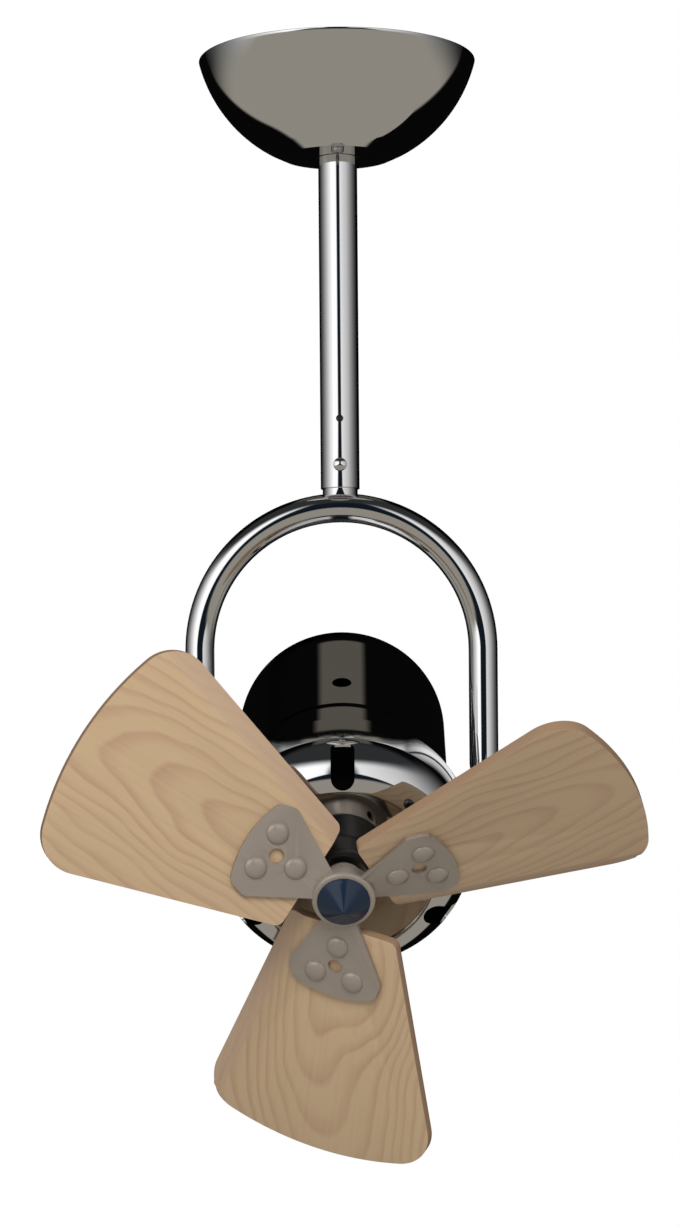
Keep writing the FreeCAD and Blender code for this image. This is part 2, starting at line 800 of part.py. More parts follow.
def yoke_tube():
    """Tube bent to an upside down U, with its two ends pressed flat into eyes."""
    body = new_body("yoke_tube", YOKE)
    arm, leg = yoke_radius, S["yoke_leg"]
    low, flat = S["yoke_round_end"], S["yoke_flat_end"]
    path = new_sketch(body, "XZ_Plane")
    bend_centre = FreeCAD.Vector(0, leg.number, 0)
    out = FreeCAD.Vector(arm.number, 0, 0)
    down = FreeCAD.Vector(0, low.number - leg.number, 0)
    path.addGeometry([
        Part.LineSegment(bend_centre + out + down, bend_centre + out),
        Part.ArcOfCircle(Part.Circle(bend_centre, Z_UP, arm.number), 0, math.pi),
        Part.LineSegment(bend_centre - out, bend_centre - out + down),
    ], False)
    bind(path, pin(0, 1, arm, low) + pin(2, 2, -arm, low) + pin(1, 3, 0, leg) + [
        (Sketcher.Constraint("Tangent", 0, 2, 1, 1), None),
        (Sketcher.Constraint("Tangent", 1, 2, 2, 1), None),
        (Sketcher.Constraint("Radius", 1, arm.number), arm),
    ])
    ring = new_sketch(body, "XY_Plane", place(z=low))
    draw_circle(ring, arm, 0, tube_radius)
    draw_circle(ring, arm, 0, tube_radius - S["yoke_tube_wall"])
    bent = body.newObject("PartDesign::AdditivePipe", "yoke_bent")
    bent.Profile = ring
    bent.Spine = (path, ["Edge1", "Edge2", "Edge3"])
    doc.recompute()
    for side in (-1, 1):
        middle = arm * side
        lean = tube_radius * cosine(45)
        half_flat, half_wide = S["yoke_eye_thickness"] / 2, S["yoke_eye_width"] / 2
        upper = new_sketch(body, "XY_Plane", place(z=low))
        draw(upper, [(middle + lean * x, lean * y, {"left": tube_radius}) for x, y in FOUR_CORNERS])
        lower = new_sketch(body, "XY_Plane", place(z=flat))
        draw(lower, [(middle + half_flat * x, half_wide * y) for x, y in FOUR_CORNERS])
        pressed = body.newObject("PartDesign::AdditiveLoft", "yoke_pressed")
        pressed.Profile = upper
        pressed.Sections = [lower]
        pressed.Ruled = True
        doc.recompute()
        eye = new_sketch(body, "YZ_Plane", place(z=middle))
        draw(eye, [
            (half_wide, flat),
            (-half_wide, flat),
            (-half_wide, 0, {"left": half_wide}),
            (0, -half_wide, {"left": half_wide}),
            (half_wide, 0),
        ])
        pad(body, eye, S["yoke_eye_thickness"], both_ways=True)
    eyes = new_sketch(body, "YZ_Plane")
    draw_circle(eyes, 0, 0, S["pivot_bolt_diameter"] / 2 + S["pivot_play"])
    pocket(body, eyes, arm * 4, both_ways=True)
    wires = new_sketch(body, "XY_Plane", place(z=leg + arm))
    draw_circle(wires, 0, 0, S["stem_bore"] / 2)
    pocket(body, wires, tube_radius * 2, back=True)
    finish(body)


# Tilt pivot pieces, one set on each side

bolt_end = S["shell_radius"] - S["shell_wall"] - S["pivot_bolt_inside"]


def outward(side):
    """Place in the head whose Z axis points outward along the tilt axis, to one side."""
    return chain(HEAD, place(axis=Y_AXIS, angle=90 * side))


def washer(label, where, outer, bore, start, thickness):
    body = new_body(label, where)
    revolve(body, [
        (bore, start),
        (outer, start),
        (outer, start + thickness),
        (bore, start + thickness),
    ])
    return body


def tilt_pivot(side, name):
    bore = S["pivot_bolt_diameter"] / 2 + S["hole_play"]
    where = outward(side)
    boss = washer("pivot_boss_blank_" + name, where, S["pivot_boss_diameter"] / 2, bore,
                  bolt_end, boss_end - bolt_end)
    barrel = rod_between("pivot_barrel_" + name, HEAD, S["shell_radius"],
                         -S["pivot_boss_diameter"], S["pivot_boss_diameter"])
    finish(boolean("Part::Cut", "pivot_boss_" + name, boss, barrel))
    finish(washer("friction_washer_" + name, where, S["friction_washer_diameter"] / 2, bore,
                  boss_end, S["friction_washer_thickness"]))
    finish(washer("pivot_washer_" + name, where, S["pivot_washer_diameter"] / 2, bore,
                  washer_inner, S["pivot_washer_thickness"]))
    seat = washer_inner + S["pivot_washer_thickness"]
    bolt = new_body("pivot_bolt_" + name, where)
    head, height = S["pivot_bolt_head"] / 2, S["pivot_bolt_head_height"]
    socket = S["pivot_socket_diameter"] / 2
    socket_floor = seat + height - S["pivot_socket_depth"]
    revolve(bolt, [
        (0, bolt_end),
        (S["pivot_bolt_diameter"] / 2, bolt_end),
        (S["pivot_bolt_diameter"] / 2, seat),
        (head, seat),
        (head, seat + height, {"round": S["pivot_bolt_head_round"]}),
        (socket, seat + height),
        (socket, socket_floor),
        (0, socket_floor),
    ])
    finish(bolt)


# Motor head

seam = -S["seam_behind_pivot"]
seam_radius = S["shell_radius"] - S["shell_shoulder_drop"]
flange_back = S["cover_back"] + S["flange_inset"]
flange_front = flange_back + S["shell_wall"]
shield_back = flange_front
shield_front = shield_back + S["shield_thickness"]
stator_front = S["stator_back"] + S["stator_length"]
rear_plate_front = S["stator_back"] - S["rear_shield_gap"]
rear_plate_back = rear_plate_front - S["shield_thickness"]
bearing_radius = S["bearing_diameter"] / 2
shaft_radius = S["shaft_diameter"] / 2
rear_bearing_back = rear_plate_back - S["bearing_width"]
front_bearing_front = S["nose_front"] - S["bearing_inset"]
front_bearing_back = front_bearing_front - S["bearing_width"]
edge_place = S["cover_front"] - S["cover_edge_round"]
rear_screw_place = seam + S["rear_screw_ahead_of_seam"]
rear_screw_angles = (270 - S["rear_screw_spread"], 270 + S["rear_screw_spread"])
rear_screw_hole = S["rear_screw_diameter"] / 2 + S["hole_play"]


def pan_front(radius, wall):
    """Place along the motor axis of the front cover's round edge at a radius, a wall below its face."""
    curve = S["cover_edge_round"] - wall
    across = radius - S["cover_radius"] + S["cover_edge_round"]
    return edge_place + root(curve * curve - across * across)


screw_seat_radius = S["cover_seat_diameter"] / 2
seat_front = S["cover_seat_margin"] + pan_front(S["cover_screw_radius"] - screw_seat_radius, S["cover_wall"])
post_front = pan_front(S["cover_screw_radius"] + screw_seat_radius, S["cover_wall"]) - S["cover_seat_margin"]


def motor_shell():
    body = new_body("motor_shell", HEAD)
    outer, wall = S["shell_radius"], S["shell_wall"]
    rim = S["cover_radius"] - S["cover_wall"] - S["hole_play"]
    drop, length = S["shell_shoulder_drop"], S["shell_shoulder_length"]
    shoulder = (length * length + drop * drop) / (drop * 2)
    revolve(body, [
        (seam_radius - wall, seam),
        (seam_radius, seam, {"left": shoulder}),
        (outer, seam + length),
        (outer, flange_back),
        (rim, flange_back),
        (rim, flange_front),
        (outer - wall, flange_front),
        (outer - wall, seam + length, {"right": shoulder}),
    ])
    holes = new_sketch(body, "YZ_Plane")
    draw_circle(holes, 0, 0, S["pivot_bolt_diameter"] / 2 + S["hole_play"])
    pocket(body, holes, outer * 4, both_ways=True)
    for angle in rear_screw_angles:
        drill_outward(body, angle, rear_screw_place, rear_screw_hole, outer + S["cut_overrun"])
    finish(body)


def rear_cover():
    body = new_body("rear_cover", HEAD)
    outer, wall = seam_radius, S["shell_wall"]
    sleeve = outer - wall - S["rear_cover_fit"]
    tail = seam - S["rear_cover_length"]
    dome = S["rear_cover_dome"]
    spigot_end = seam + S["rear_cover_spigot"]
    revolve(body, [
        (0, tail),
        (outer, tail, {"round": dome}),
        (outer, seam),
        (sleeve, seam),
        (sleeve, spigot_end),
        (sleeve - wall, spigot_end),
        (sleeve - wall, tail + wall, {"round": dome - wall}),
        (0, tail + wall),
    ])
    hole = new_sketch(body, "XZ_Plane")
    draw_circle(hole, 0, seam - S["rear_hole_behind_seam"], S["rear_hole_diameter"] / 2)
    pocket(body, hole, outer + S["cut_overrun"])
    for angle in rear_screw_angles:
        drill_outward(body, angle, rear_screw_place, rear_screw_hole, outer + S["cut_overrun"])
    finish(body)


def front_cover():
    body = new_body("front_cover", HEAD)
    outer, wall, back = S["cover_radius"], S["cover_wall"], S["cover_back"]
    edge, step, inset = S["cover_edge_round"], S["cover_step_radius"], S["cover_step"]
    hole = S["nose_radius"] + S["nose_cover_gap"]
    dish, bead, over = S["cover_dish"], S["cover_step_round"], S["cut_overrun"]
    front = pan_front(step, size(0))
    revolve(body, [
        (outer - wall, back),
        (outer, back),
        (outer, edge_place, {"left": edge}),
        (step, front, {"round": bead}),
        (step, front - inset, {"round": bead / 2}),
        (hole, dish),
        (hole, dish - wall),
        (step + wall, front - inset - wall),
        (step + wall, pan_front(step + wall, wall), {"right": edge - wall}),
        (outer - wall, edge_place),
    ])
    half, low, corner = S["cover_slot_width"] / 2, S["cover_slot_floor"], S["cover_slot_corner"]
    notch_top = low + corner * 2
    slot = new_sketch(body, "XY_Plane", place(z=notch_top, angle=90))
    draw_slot(slot, S["cover_slot_inner"] + half, outer + half, 0, half)
    face_cut = pocket(body, slot, S["cover_front"] - notch_top + over, back=True)
    notch = new_sketch(body, "XZ_Plane", place(z=-S["cover_slot_inner"]))
    draw(notch, [
        (-half, low, {"round": corner}),
        (half, low, {"round": corner}),
        (half, notch_top + over),
        (-half, notch_top + over),
    ])
    edge_cut = pocket(body, notch, outer - S["cover_slot_inner"] + over)
    repeat_round(body, [face_cut, edge_cut], S["cover_slot_count"])
    seat = new_sketch(body, "XY_Plane", place(z=post_front, angle=S["cover_screw_angle"]))
    draw_circle(seat, S["cover_screw_radius"], 0, screw_seat_radius)
    raised = pad(body, seat, seat_front - post_front)
    repeat_round(body, [raised], S["cover_screw_count"])
    sunk = new_sketch(body, "XY_Plane", place(z=seat_front, angle=S["cover_screw_angle"]))
    draw_circle(sunk, S["cover_screw_radius"], 0, screw_seat_radius + S["hole_play"])
    recess = pocket(body, sunk, S["cover_front"] - seat_front + over, back=True)
    repeat_round(body, [recess], S["cover_screw_count"])
    spot = new_sketch(body, "XY_Plane", place(z=post_front - over, angle=S["cover_screw_angle"]))
    draw_circle(spot, S["cover_screw_radius"], 0, S["cover_screw_diameter"] / 2 + S["hole_play"])
    drilled = pocket(body, spot, seat_front - post_front + over * 2, back=True)
    repeat_round(body, [drilled], S["cover_screw_count"])
    finish(body)


def front_cover_screws():
    screws = []
    length = seat_front - post_front + S["cover_screw_grip"]
    for turn in range(SIZES["cover_screw_count"]):
        where = chain(HEAD, place(angle=S["cover_screw_angle"] + share_of_turn(turn, "cover_screw_count")),
                      place(x=S["cover_screw_radius"], z=seat_front))
        screws.append(pan_screw("cover_screw_%d" % (turn + 1), where, S["cover_screw_diameter"], length,
                                S["cover_screw_head"], S["cover_screw_head_height"]))
    finish(group("front_cover_screws", screws))


def bore_tie_holes(body, back, front):
    """Clearance holes for the tie bolts, from one plane of the head to another."""
    over = S["cut_overrun"]
    clearance = new_sketch(body, "XY_Plane", place(z=back - over, angle=S["tie_bolt_angle"]))
    draw_circle(clearance, S["tie_bolt_circle"], 0, S["tie_bolt_diameter"] / 2 + S["hole_play"])
    bored = pocket(body, clearance, front - back + over * 2, back=True)
    repeat_round(body, [bored], S["tie_bolt_count"])


def front_shield():
    """Plate on the shell's flange, with the long bearing nose and the posts that carry the front cover."""
    body = new_body("front_shield", HEAD)
    rim = S["cover_radius"] - S["cover_wall"] - S["hole_play"]
    nose, seat = S["nose_radius"], bearing_radius
    through = bearing_radius - S["bearing_wall"]
    revolve(body, [
        (through, shield_back),
        (rim, shield_back),
        (rim, shield_front),
        (nose, shield_front),
        (nose, S["nose_front"], {"round": S["nose_edge_round"]}),
        (seat, S["nose_front"]),
        (seat, front_bearing_back),
        (through, front_bearing_back),
    ])
    post = new_sketch(body, "XY_Plane", place(z=shield_front, angle=S["cover_screw_angle"]))
    draw_circle(post, S["cover_screw_radius"], 0, S["shield_post_diameter"] / 2)
    grown = pad(body, post, post_front - shield_front)
    repeat_round(body, [grown], S["cover_screw_count"])
    over = S["cut_overrun"]
    thread = new_sketch(body, "XY_Plane", place(z=post_front, angle=S["cover_screw_angle"]))
    draw_circle(thread, S["cover_screw_radius"], 0, S["cover_screw_diameter"] / 2)
    tapped = pocket(body, thread, S["cover_screw_grip"] + over)
    repeat_round(body, [tapped], S["cover_screw_count"])
    standoff = new_sketch(body, "XY_Plane", place(z=stator_front, angle=S["tie_bolt_angle"]))
    draw_circle(standoff, S["tie_bolt_circle"], 0, S["tie_standoff_diameter"] / 2)
    foot = pad(body, standoff, shield_back - stator_front)
    repeat_round(body, [foot], S["tie_bolt_count"])
    bore_tie_holes(body, stator_front, shield_front)
    finish(body)


def rear_shield():
    """Plate behind the stator with the cup of the rear bearing."""
    body = new_body("rear_shield", HEAD)
    cup = bearing_radius + S["bearing_wall"]
    end = rear_bearing_back - S["bearing_wall"]
    revolve(body, [
        (0, end),
        (cup, end),
        (cup, rear_plate_back),
        (S["rear_shield_radius"], rear_plate_back),
        (S["rear_shield_radius"], rear_plate_front),
        (bearing_radius, rear_plate_front),
        (bearing_radius, rear_bearing_back),
        (0, rear_bearing_back),
    ])
    standoff = new_sketch(body, "XY_Plane", place(z=rear_plate_front, angle=S["tie_bolt_angle"]))
    draw_circle(standoff, S["tie_bolt_circle"], 0, S["tie_standoff_diameter"] / 2)
    foot = pad(body, standoff, S["rear_shield_gap"])
    repeat_round(body, [foot], S["tie_bolt_count"])
    bore_tie_holes(body, rear_plate_back, S["stator_back"])
    finish(body)


def tie_bolts():
    bolts = []
    length = shield_front - rear_plate_back + S["tie_bolt_past"]
    for turn in range(SIZES["tie_bolt_count"]):
        where = chain(HEAD, place(angle=S["tie_bolt_angle"] + share_of_turn(turn, "tie_bolt_count")),
                      place(x=S["tie_bolt_circle"], z=shield_front))
        bolts.append(pan_screw("tie_bolt_%d" % (turn + 1), where, S["tie_bolt_diameter"], length,
                               S["tie_bolt_head"], S["tie_bolt_head_height"]))
    finish(group("tie_bolts", bolts))


def stator_core():
    body = new_body("stator_core", HEAD)
    bore = S["rotor_radius"] + S["air_gap"]
    revolve(body, [
        (bore, S["stator_back"]),
        (S["stator_radius"], S["stator_back"]),
        (S["stator_radius"], stator_front),
        (bore, stator_front),
    ])
    over = S["cut_overrun"]
    slot = new_sketch(body, "XY_Plane", place(z=S["stator_back"] - over))
    opening, half = S["stator_slot_opening"] / 2, S["stator_slot_width"] / 2
    base, bottom = S["stator_slot_base_width"] / 2, S["stator_slot_bottom"]
    tip = bore + S["stator_tooth_tip"]
    draw(slot, [
        (bore - over, -opening),
        (tip, -opening),
        (tip, -half),
        (bottom, -base, {"round": S["stator_slot_round"]}),
        (bottom, base, {"round": S["stator_slot_round"]}),
        (tip, half),
        (tip, opening),
        (bore - over, opening),
    ])
    cut = pocket(body, slot, S["stator_length"] + over * 2, back=True)
    repeat_round(body, [cut], S["stator_slot_count"])
    bore_tie_holes(body, S["stator_back"], stator_front)
    finish(body)


def stator_windings():
    """Bundled end turns of the coils on both faces of the core."""
    bundles = []
    inner = S["rotor_radius"] + S["air_gap"] + S["winding_inner_gap"]
    height = S["winding_height"]
    for name, base, way in (("front", stator_front, 1), ("rear", S["stator_back"], -1)):
        body = new_body("winding_" + name, HEAD)
        corners = [
            (inner, base),
            (S["stator_slot_bottom"], base),
            (S["stator_slot_bottom"], base + height * way, {"round": S["winding_round"]}),
            (inner, base + height * way, {"round": S["winding_round"]}),
        ]
        revolve(body, corners)
        bundles.append(body)
    finish(group("stator_windings", bundles))


def bearing(label, back):
    """Sealed ball bearing: two races with a sunk shield on each face."""
    body = new_body(label, HEAD)
    bore, outer, width = shaft_radius + S["shaft_play"], bearing_radius, S["bearing_width"]
    race, sunk = S["bearing_race"], S["bearing_shield_sunk"]
    front = back + width
    revolve(body, [
        (bore, back),
        (bore + race, back),
        (bore + race, back + sunk),
        (outer - race, back + sunk),
        (outer - race, back),
        (outer, back),
        (outer, front),
        (outer - race, front),
        (outer - race, front - sunk),
        (bore + race, front - sunk),
        (bore + race, front),
        (bore, front),
    ])
    finish(body)


def capacitor():
    body = new_body("capacitor", HEAD)
    half_wide, half_deep = S["capacitor_width"] / 2, S["capacitor_depth"] / 2
    middle = S["capacitor_offset"]
    corner = S["capacitor_round"]
    sketch = new_sketch(body, "XY_Plane", place(z=rear_plate_back))
    draw(sketch, [(half_wide * x, middle + half_deep * y, {"round": corner}) for x, y in FOUR_CORNERS])
    pad(body, sketch, S["capacitor_height"], back=True)
    finish(body)


def rear_cover_screws():
    screws = []
    depth = S["shell_wall"] * 2 + S["shell_shoulder_drop"] + S["rear_cover_fit"]
    for angle, name in zip(rear_screw_angles, ("left", "right")):
        where = chain(HEAD, radial(angle, rear_screw_place), place(z=S["shell_radius"]))
        screws.append(pan_screw("rear_screw_" + name, where, S["rear_screw_diameter"],
                                depth + S["rear_screw_past"], S["rear_screw_head"],
                                S["rear_screw_head_height"]))
    finish(group("rear_cover_screws", screws))


# Spinning pieces

def rotor_shaft():
    body = new_body("rotor_shaft", SPINNER)
    thread = S["shaft_thread_diameter"] / 2
    revolve(body, [
        (0, rear_bearing_back + S["shaft_play"]),
        (shaft_radius, rear_bearing_back + S["shaft_play"]),
        (shaft_radius, S["hub_front"]),
        (thread, S["hub_front"]),
        (thread, S["hub_front"] + S["shaft_thread_length"]),
        (0, S["hub_front"] + S["shaft_thread_length"]),
    ])
    finish(body)


def rotor_core():
    body = new_body("rotor_core", SPINNER)
    outer, ring, wall = S["rotor_radius"], S["rotor_end_ring"], S["rotor_end_ring_wall"]
    back, front, taper = S["stator_back"], stator_front, S["rotor_end_ring_taper"]
    revolve(body, [
        (shaft_radius, back),
        (outer - wall, back),
        (outer - wall, back - ring),
        (outer - taper, back - ring),
        (outer, back),
        (outer, front),
        (outer - taper, front + ring),
        (outer - wall, front + ring),
        (outer - wall, front),
        (shaft_radius, front),
    ])
    finish(body)


pitched = place(z=S["spider_plane"], axis=X_AXIS, angle=S["blade_pitch"])
rivet_spots = [
    (S["rivet_centre"] - S["rivet_circle"], size(0)),
    (S["rivet_centre"] + S["rivet_circle"] / 2, S["rivet_circle"] * sine(60)),
    (S["rivet_centre"] + S["rivet_circle"] / 2, -S["rivet_circle"] * sine(60)),
]


def blade_spider():
    """Cast hub with three pitched arms that the blades are riveted to."""
    body = new_body("blade_spider", SPINNER)
    hub, taper = S["hub_radius"], S["hub_taper"]
    sleeve = S["hub_sleeve_radius"]
    revolve(body, [
        (shaft_radius, S["hub_sleeve_back"]),
        (sleeve, S["hub_sleeve_back"], {"round": S["hub_sleeve_round"]}),
        (sleeve, S["hub_back"]),
        (hub - taper, S["hub_back"]),
        (hub, S["hub_front"], {"round": S["hub_front_round"]}),
        (shaft_radius, S["hub_front"]),
    ])
    outline = new_sketch(body, "XY_Plane", pitched)
    start, half = S["arm_root_reach"], S["arm_root_width"] / 2
    corner, corner_half, rounding = S["arm_corner_reach"], S["arm_corner_width"] / 2, S["arm_corner_round"]
    tip, tip_half = S["arm_outer_radius"], S["arm_tip_width"] / 2
    tip_reach = root(tip * tip - tip_half * tip_half)
    draw(outline, [
        (start, -half),
        (corner, -corner_half, {"round": rounding}),
        (tip_reach, -tip_half, {"round": rounding, "left": tip}),
        (tip_reach, tip_half, {"round": rounding}),
        (corner, corner_half, {"round": rounding}),
        (start, half),
    ])
    for x, y in rivet_spots:
        draw_circle(outline, x, y, S["rivet_shank_diameter"] / 2 + S["hole_play"])
    draw_circle(outline, S["rivet_centre"], 0, S["arm_hole_diameter"] / 2)
    arm = pad(body, outline, S["arm_thickness"], back=True)
    repeat_round(body, [arm], S["blade_count"])
    screw = new_sketch(body, "YZ_Plane")
    middle = (S["hub_sleeve_back"] + S["hub_back"]) / 2
    draw_circle(screw, 0, middle, S["hub_screw_diameter"] / 2)
    pocket(body, screw, sleeve + S["cut_overrun"], back=True)
    finish(body)


def hub_screw():
    middle = (S["hub_sleeve_back"] + S["hub_back"]) / 2
    body = new_body("hub_screw", chain(SPINNER, place(z=middle), place(axis=Y_AXIS, angle=90)))
    outer, radius = S["hub_sleeve_radius"] - S["hub_screw_recess"], S["hub_screw_diameter"] / 2
    socket, socket_floor = S["hub_screw_socket_diameter"] / 2, outer - S["hub_screw_socket_depth"]
    revolve(body, [
        (0, shaft_radius),
        (radius, shaft_radius),
        (radius, outer),
        (socket, outer),
        (socket, socket_floor),
        (0, socket_floor),
    ])
    finish(body)


def nose_cone():
    body = new_body("nose_cone", chain(SPINNER, place(z=S["hub_front"])))
    outer, base, height = S["cone_radius"], S["cone_base"], S["cone_height"]
    thread, tip = S["shaft_thread_diameter"] / 2, S["cone_tip_round"]
    slant = root(outer * outer + height * height)
    tip_centre = base + height - tip * slant / outer
    revolve(body, [
        (thread, 0),
        (outer, 0),
        (outer, base, {"round": S["cone_base_round"]}),
        (tip * height / slant, tip_centre + tip * outer / slant, {"left": tip}),
        (0, tip_centre + tip),
        (0, S["shaft_thread_length"]),
        (thread, S["shaft_thread_length"]),
    ])
    finish(body)


def on_blade(index):
    """Place of one blade: x along the blade, y across it and z off the front of its arm."""
    return chain(SPINNER, place(angle=share_of_turn(index, "blade_count")), pitched)


def blade(index):
    """Flat wooden blade with a straight bevel along the front of its leading edge."""
    where = on_blade(index)
    label = "blade_%d" % (index + 1)
    body = new_body(label + "_blank", where)
    root_reach, root_half = S["blade_root_reach"], S["blade_root_width"] / 2
    tip, tip_half = S["blade_tip_radius"], S["blade_tip_width"] / 2
    tip_reach = root(tip * tip - tip_half * tip_half)
    front = -S["arm_thickness"]
    sketch = new_sketch(body, "XY_Plane", place(z=front))
    draw(sketch, [
        (root_reach, -root_half, {"round": S["blade_root_round"]}),
        (tip_reach, -tip_half, {"round": S["blade_tip_round"], "left": tip}),
        (tip_reach, tip_half, {"round": S["blade_tip_round"]}),
        (root_reach, root_half, {"round": S["blade_root_round"]}),
    ])
    for x, y in rivet_spots:
        draw_circle(sketch, x, y, S["rivet_shank_diameter"] / 2 + S["hole_play"])
    pad(body, sketch, S["blade_thickness"], back=True)
    spread = arc_tangent((tip_half - root_half) / (tip_reach - root_reach))
    slope = arc_tangent(S["blade_bevel_depth"] / S["blade_bevel_width"])
    planing = doc.addObject("Part::Box", label + "_planing")
    planing.setExpression("Length", (tip * 1.2).formula)
    planing.setExpression("Width", (S["blade_bevel_width"] * 3).formula)
    planing.setExpression("Height", (S["blade_thickness"] * 2).formula)
    planing.setExpression("Placement", chain(
        where, place(x=root_reach, y=-root_half, z=front - S["blade_bevel_depth"]),
        place(angle=-spread), place(axis=X_AXIS, angle=slope),
        place(x=-tip * 0.1, y=-S["blade_bevel_width"])))
    finish(boolean("Part::Cut", label, body, planing))


def blade_rivets(index):
    rivets = []
    head, height = S["rivet_head_diameter"] / 2, S["rivet_head_height"]
    dome = (head * head + height * height) / (height * 2)
    shank, tail = S["rivet_shank_diameter"] / 2, S["rivet_tail_diameter"] / 2
    back = -S["arm_thickness"] - S["blade_thickness"]
    for turn, (x, y) in enumerate(rivet_spots):
        body = new_body("rivet_%d_%d" % (index + 1, turn + 1), chain(on_blade(index), place(x=x, y=y)))
        revolve(body, [
            (0, back - S["rivet_tail_height"]),
            (tail, back - S["rivet_tail_height"]),
            (tail, back),
            (shank, back),
            (shank, 0),
            (head, 0, {"left": dome}),
            (0, height),
        ])
        rivets.append(body)
    finish(group("blade_rivets_%d" % (index + 1), rivets))


def build():
    ceiling_bracket()
    hanger_ball()
    hanger_pin()
    canopy()
    canopy_screws()
    downrod()
    facing_pin("swivel_pin", S["swivel_pin_height"], S["swivel_pin_diameter"], rod_radius,
               rod_bore - S["swivel_groove_depth"] + S["swivel_groove_play"])
    facing_pin("swivel_lock_screw", S["lock_screw_height"], S["lock_screw_diameter"],
               rod_radius - S["lock_screw_recess"], rod_bore + S["lock_screw_gap"])
    yoke_stem()
    yoke_tube()
    for side, name in ((-1, "left"), (1, "right")):
        tilt_pivot(side, name)
    motor_shell()
    rear_cover()
    rear_cover_screws()
    front_cover()
    front_cover_screws()
    front_shield()
    rear_shield()
    tie_bolts()
    stator_core()
    stator_windings()
    bearing("front_bearing", front_bearing_back)
    bearing("rear_bearing", rear_bearing_back)
    capacitor()
    rotor_shaft()
    rotor_core()
    blade_spider()
    hub_screw()
    nose_cone()
    for index in range(SIZES["blade_count"]):
        blade(index)
        blade_rivets(index)
    doc.recompute()


def write_parts():
    """Checks every object and every shape, then writes one file for each node."""
    for item in doc.Objects:
        if "Invalid" in item.State or "Error" in item.State:
            raise RuntimeError(item.Label + " failed to compute")
    for node in nodes:
        if node.Shape.isNull() or not node.Shape.isValid():
            raise RuntimeError(node.Label + " has no valid shape")
    os.makedirs("parts", exist_ok=True)
    for node in nodes:
        node.Shape.exportStep("parts/%s.step" % node.Label)
    print(len(nodes), "nodes written")


build()
write_parts()
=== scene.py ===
import json
import math

import bmesh
import bpy
from bpy.props import FloatProperty, FloatVectorProperty, IntProperty, PointerProperty
from bpy.types import Operator, Panel, PropertyGroup
from mathutils import Matrix, Vector


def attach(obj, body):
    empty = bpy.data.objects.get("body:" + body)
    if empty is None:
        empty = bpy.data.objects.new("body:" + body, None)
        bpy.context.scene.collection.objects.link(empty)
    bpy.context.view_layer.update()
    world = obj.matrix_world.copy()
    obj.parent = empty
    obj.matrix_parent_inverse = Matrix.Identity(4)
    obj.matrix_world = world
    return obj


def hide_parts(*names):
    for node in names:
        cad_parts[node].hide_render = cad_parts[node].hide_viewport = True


bl_info = {
    "name": "Directional Ceiling Fan",
    "version": (1, 0, 0),
    "blender": (4, 5, 0),
    "location": "View3D > Sidebar > Fan",
    "description": "Dresses the solids of a small directional ceiling fan",
    "category": "Object",
}

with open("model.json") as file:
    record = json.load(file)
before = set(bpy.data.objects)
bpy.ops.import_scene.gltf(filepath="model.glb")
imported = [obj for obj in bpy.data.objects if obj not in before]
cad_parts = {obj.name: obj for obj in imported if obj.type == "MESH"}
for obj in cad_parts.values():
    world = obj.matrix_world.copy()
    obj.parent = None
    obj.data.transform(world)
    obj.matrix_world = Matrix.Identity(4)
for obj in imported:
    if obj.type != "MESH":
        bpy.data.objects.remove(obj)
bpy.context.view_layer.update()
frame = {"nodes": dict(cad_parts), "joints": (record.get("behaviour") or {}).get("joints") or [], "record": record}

JOINTS = {joint["name"]: joint for joint in frame["joints"]}
PIVOT = Vector(JOINTS["head_tilt"]["pos_m"])
MOTOR_AXIS = Vector(JOINTS["rotor_spin"]["axis"])
MM = 0.001


# Places. The head is described along its own Z axis, the motor shaft pointing forward from the tilt axis.

def axes_matrix(origin, x_axis, z_axis):
    """Place with its own X and Z axes, which stand square to each other."""
    y_axis = z_axis.cross(x_axis)
    turn = Matrix((x_axis, y_axis, z_axis)).transposed().to_4x4()
    return Matrix.Translation(origin) @ turn


CEILING = Matrix.Identity(4)
YOKE = Matrix.Translation(PIVOT)
HEAD = axes_matrix(PIVOT, Vector((1, 0, 0)), MOTOR_AXIS.normalized())


# Sizes and colours that a user would change

def linear(hex_colour):
    """Scene-linear colour of an sRGB hex value."""
    parts = [int(hex_colour[i:i + 2], 16) / 255 for i in (1, 3, 5)]
    return [part / 12.92 if part <= 0.04045 else ((part + 0.055) / 1.055) ** 2.4 for part in parts]


def length(name, description, millimetres):
    """Property for a length, whose default is given in millimetres."""
    return FloatProperty(name=name, description=description, default=millimetres * MM, min=0, unit="LENGTH",
                         precision=4)


def colour(name, description, hex_colour):
    """Property for a colour, whose default is given as an sRGB hex value."""
    return FloatVectorProperty(name=name, description=description, default=linear(hex_colour), size=3,
                               subtype="COLOR", min=0, max=1)


class CanopySizes(PropertyGroup):
    radius: length("Rim radius", "Outside of the bowl's rim", 75.5)
    bulge: length("Bulge radius", "Radius of the bowl's side in profile", 77.6)
    depth: length("Depth", "From the ceiling to the bowl's floor", 53.5)
    floor: length("Floor radius", "Flat round the rod", 30.0)
    wall: length("Wall", "Thickness of the pressed sheet", 1.2)
    gap: length("Ceiling gap", "Between the rim and the ceiling", 1.0)
    band: length("Rim band", "Upright band at the rim", 0.5)
    rim_round: length("Rim round", "Round where the rim turns in", 0.3)
    bead: length("Floor bead", "Round where the side meets the floor", 1.4)
    lip: length("Lip", "Width of the turned-in rim", 6.0)
    hole: length("Rod hole", "Radius of the hole for the rod", 11.45)
    screw_offset: length("Screw offset", "Screws from the rod's axis", 23.8)
    screw_head: length("Screw head", "Diameter of a screw's head", 7.0)
    screw_height: length("Screw height", "Height of a screw's head", 2.6)


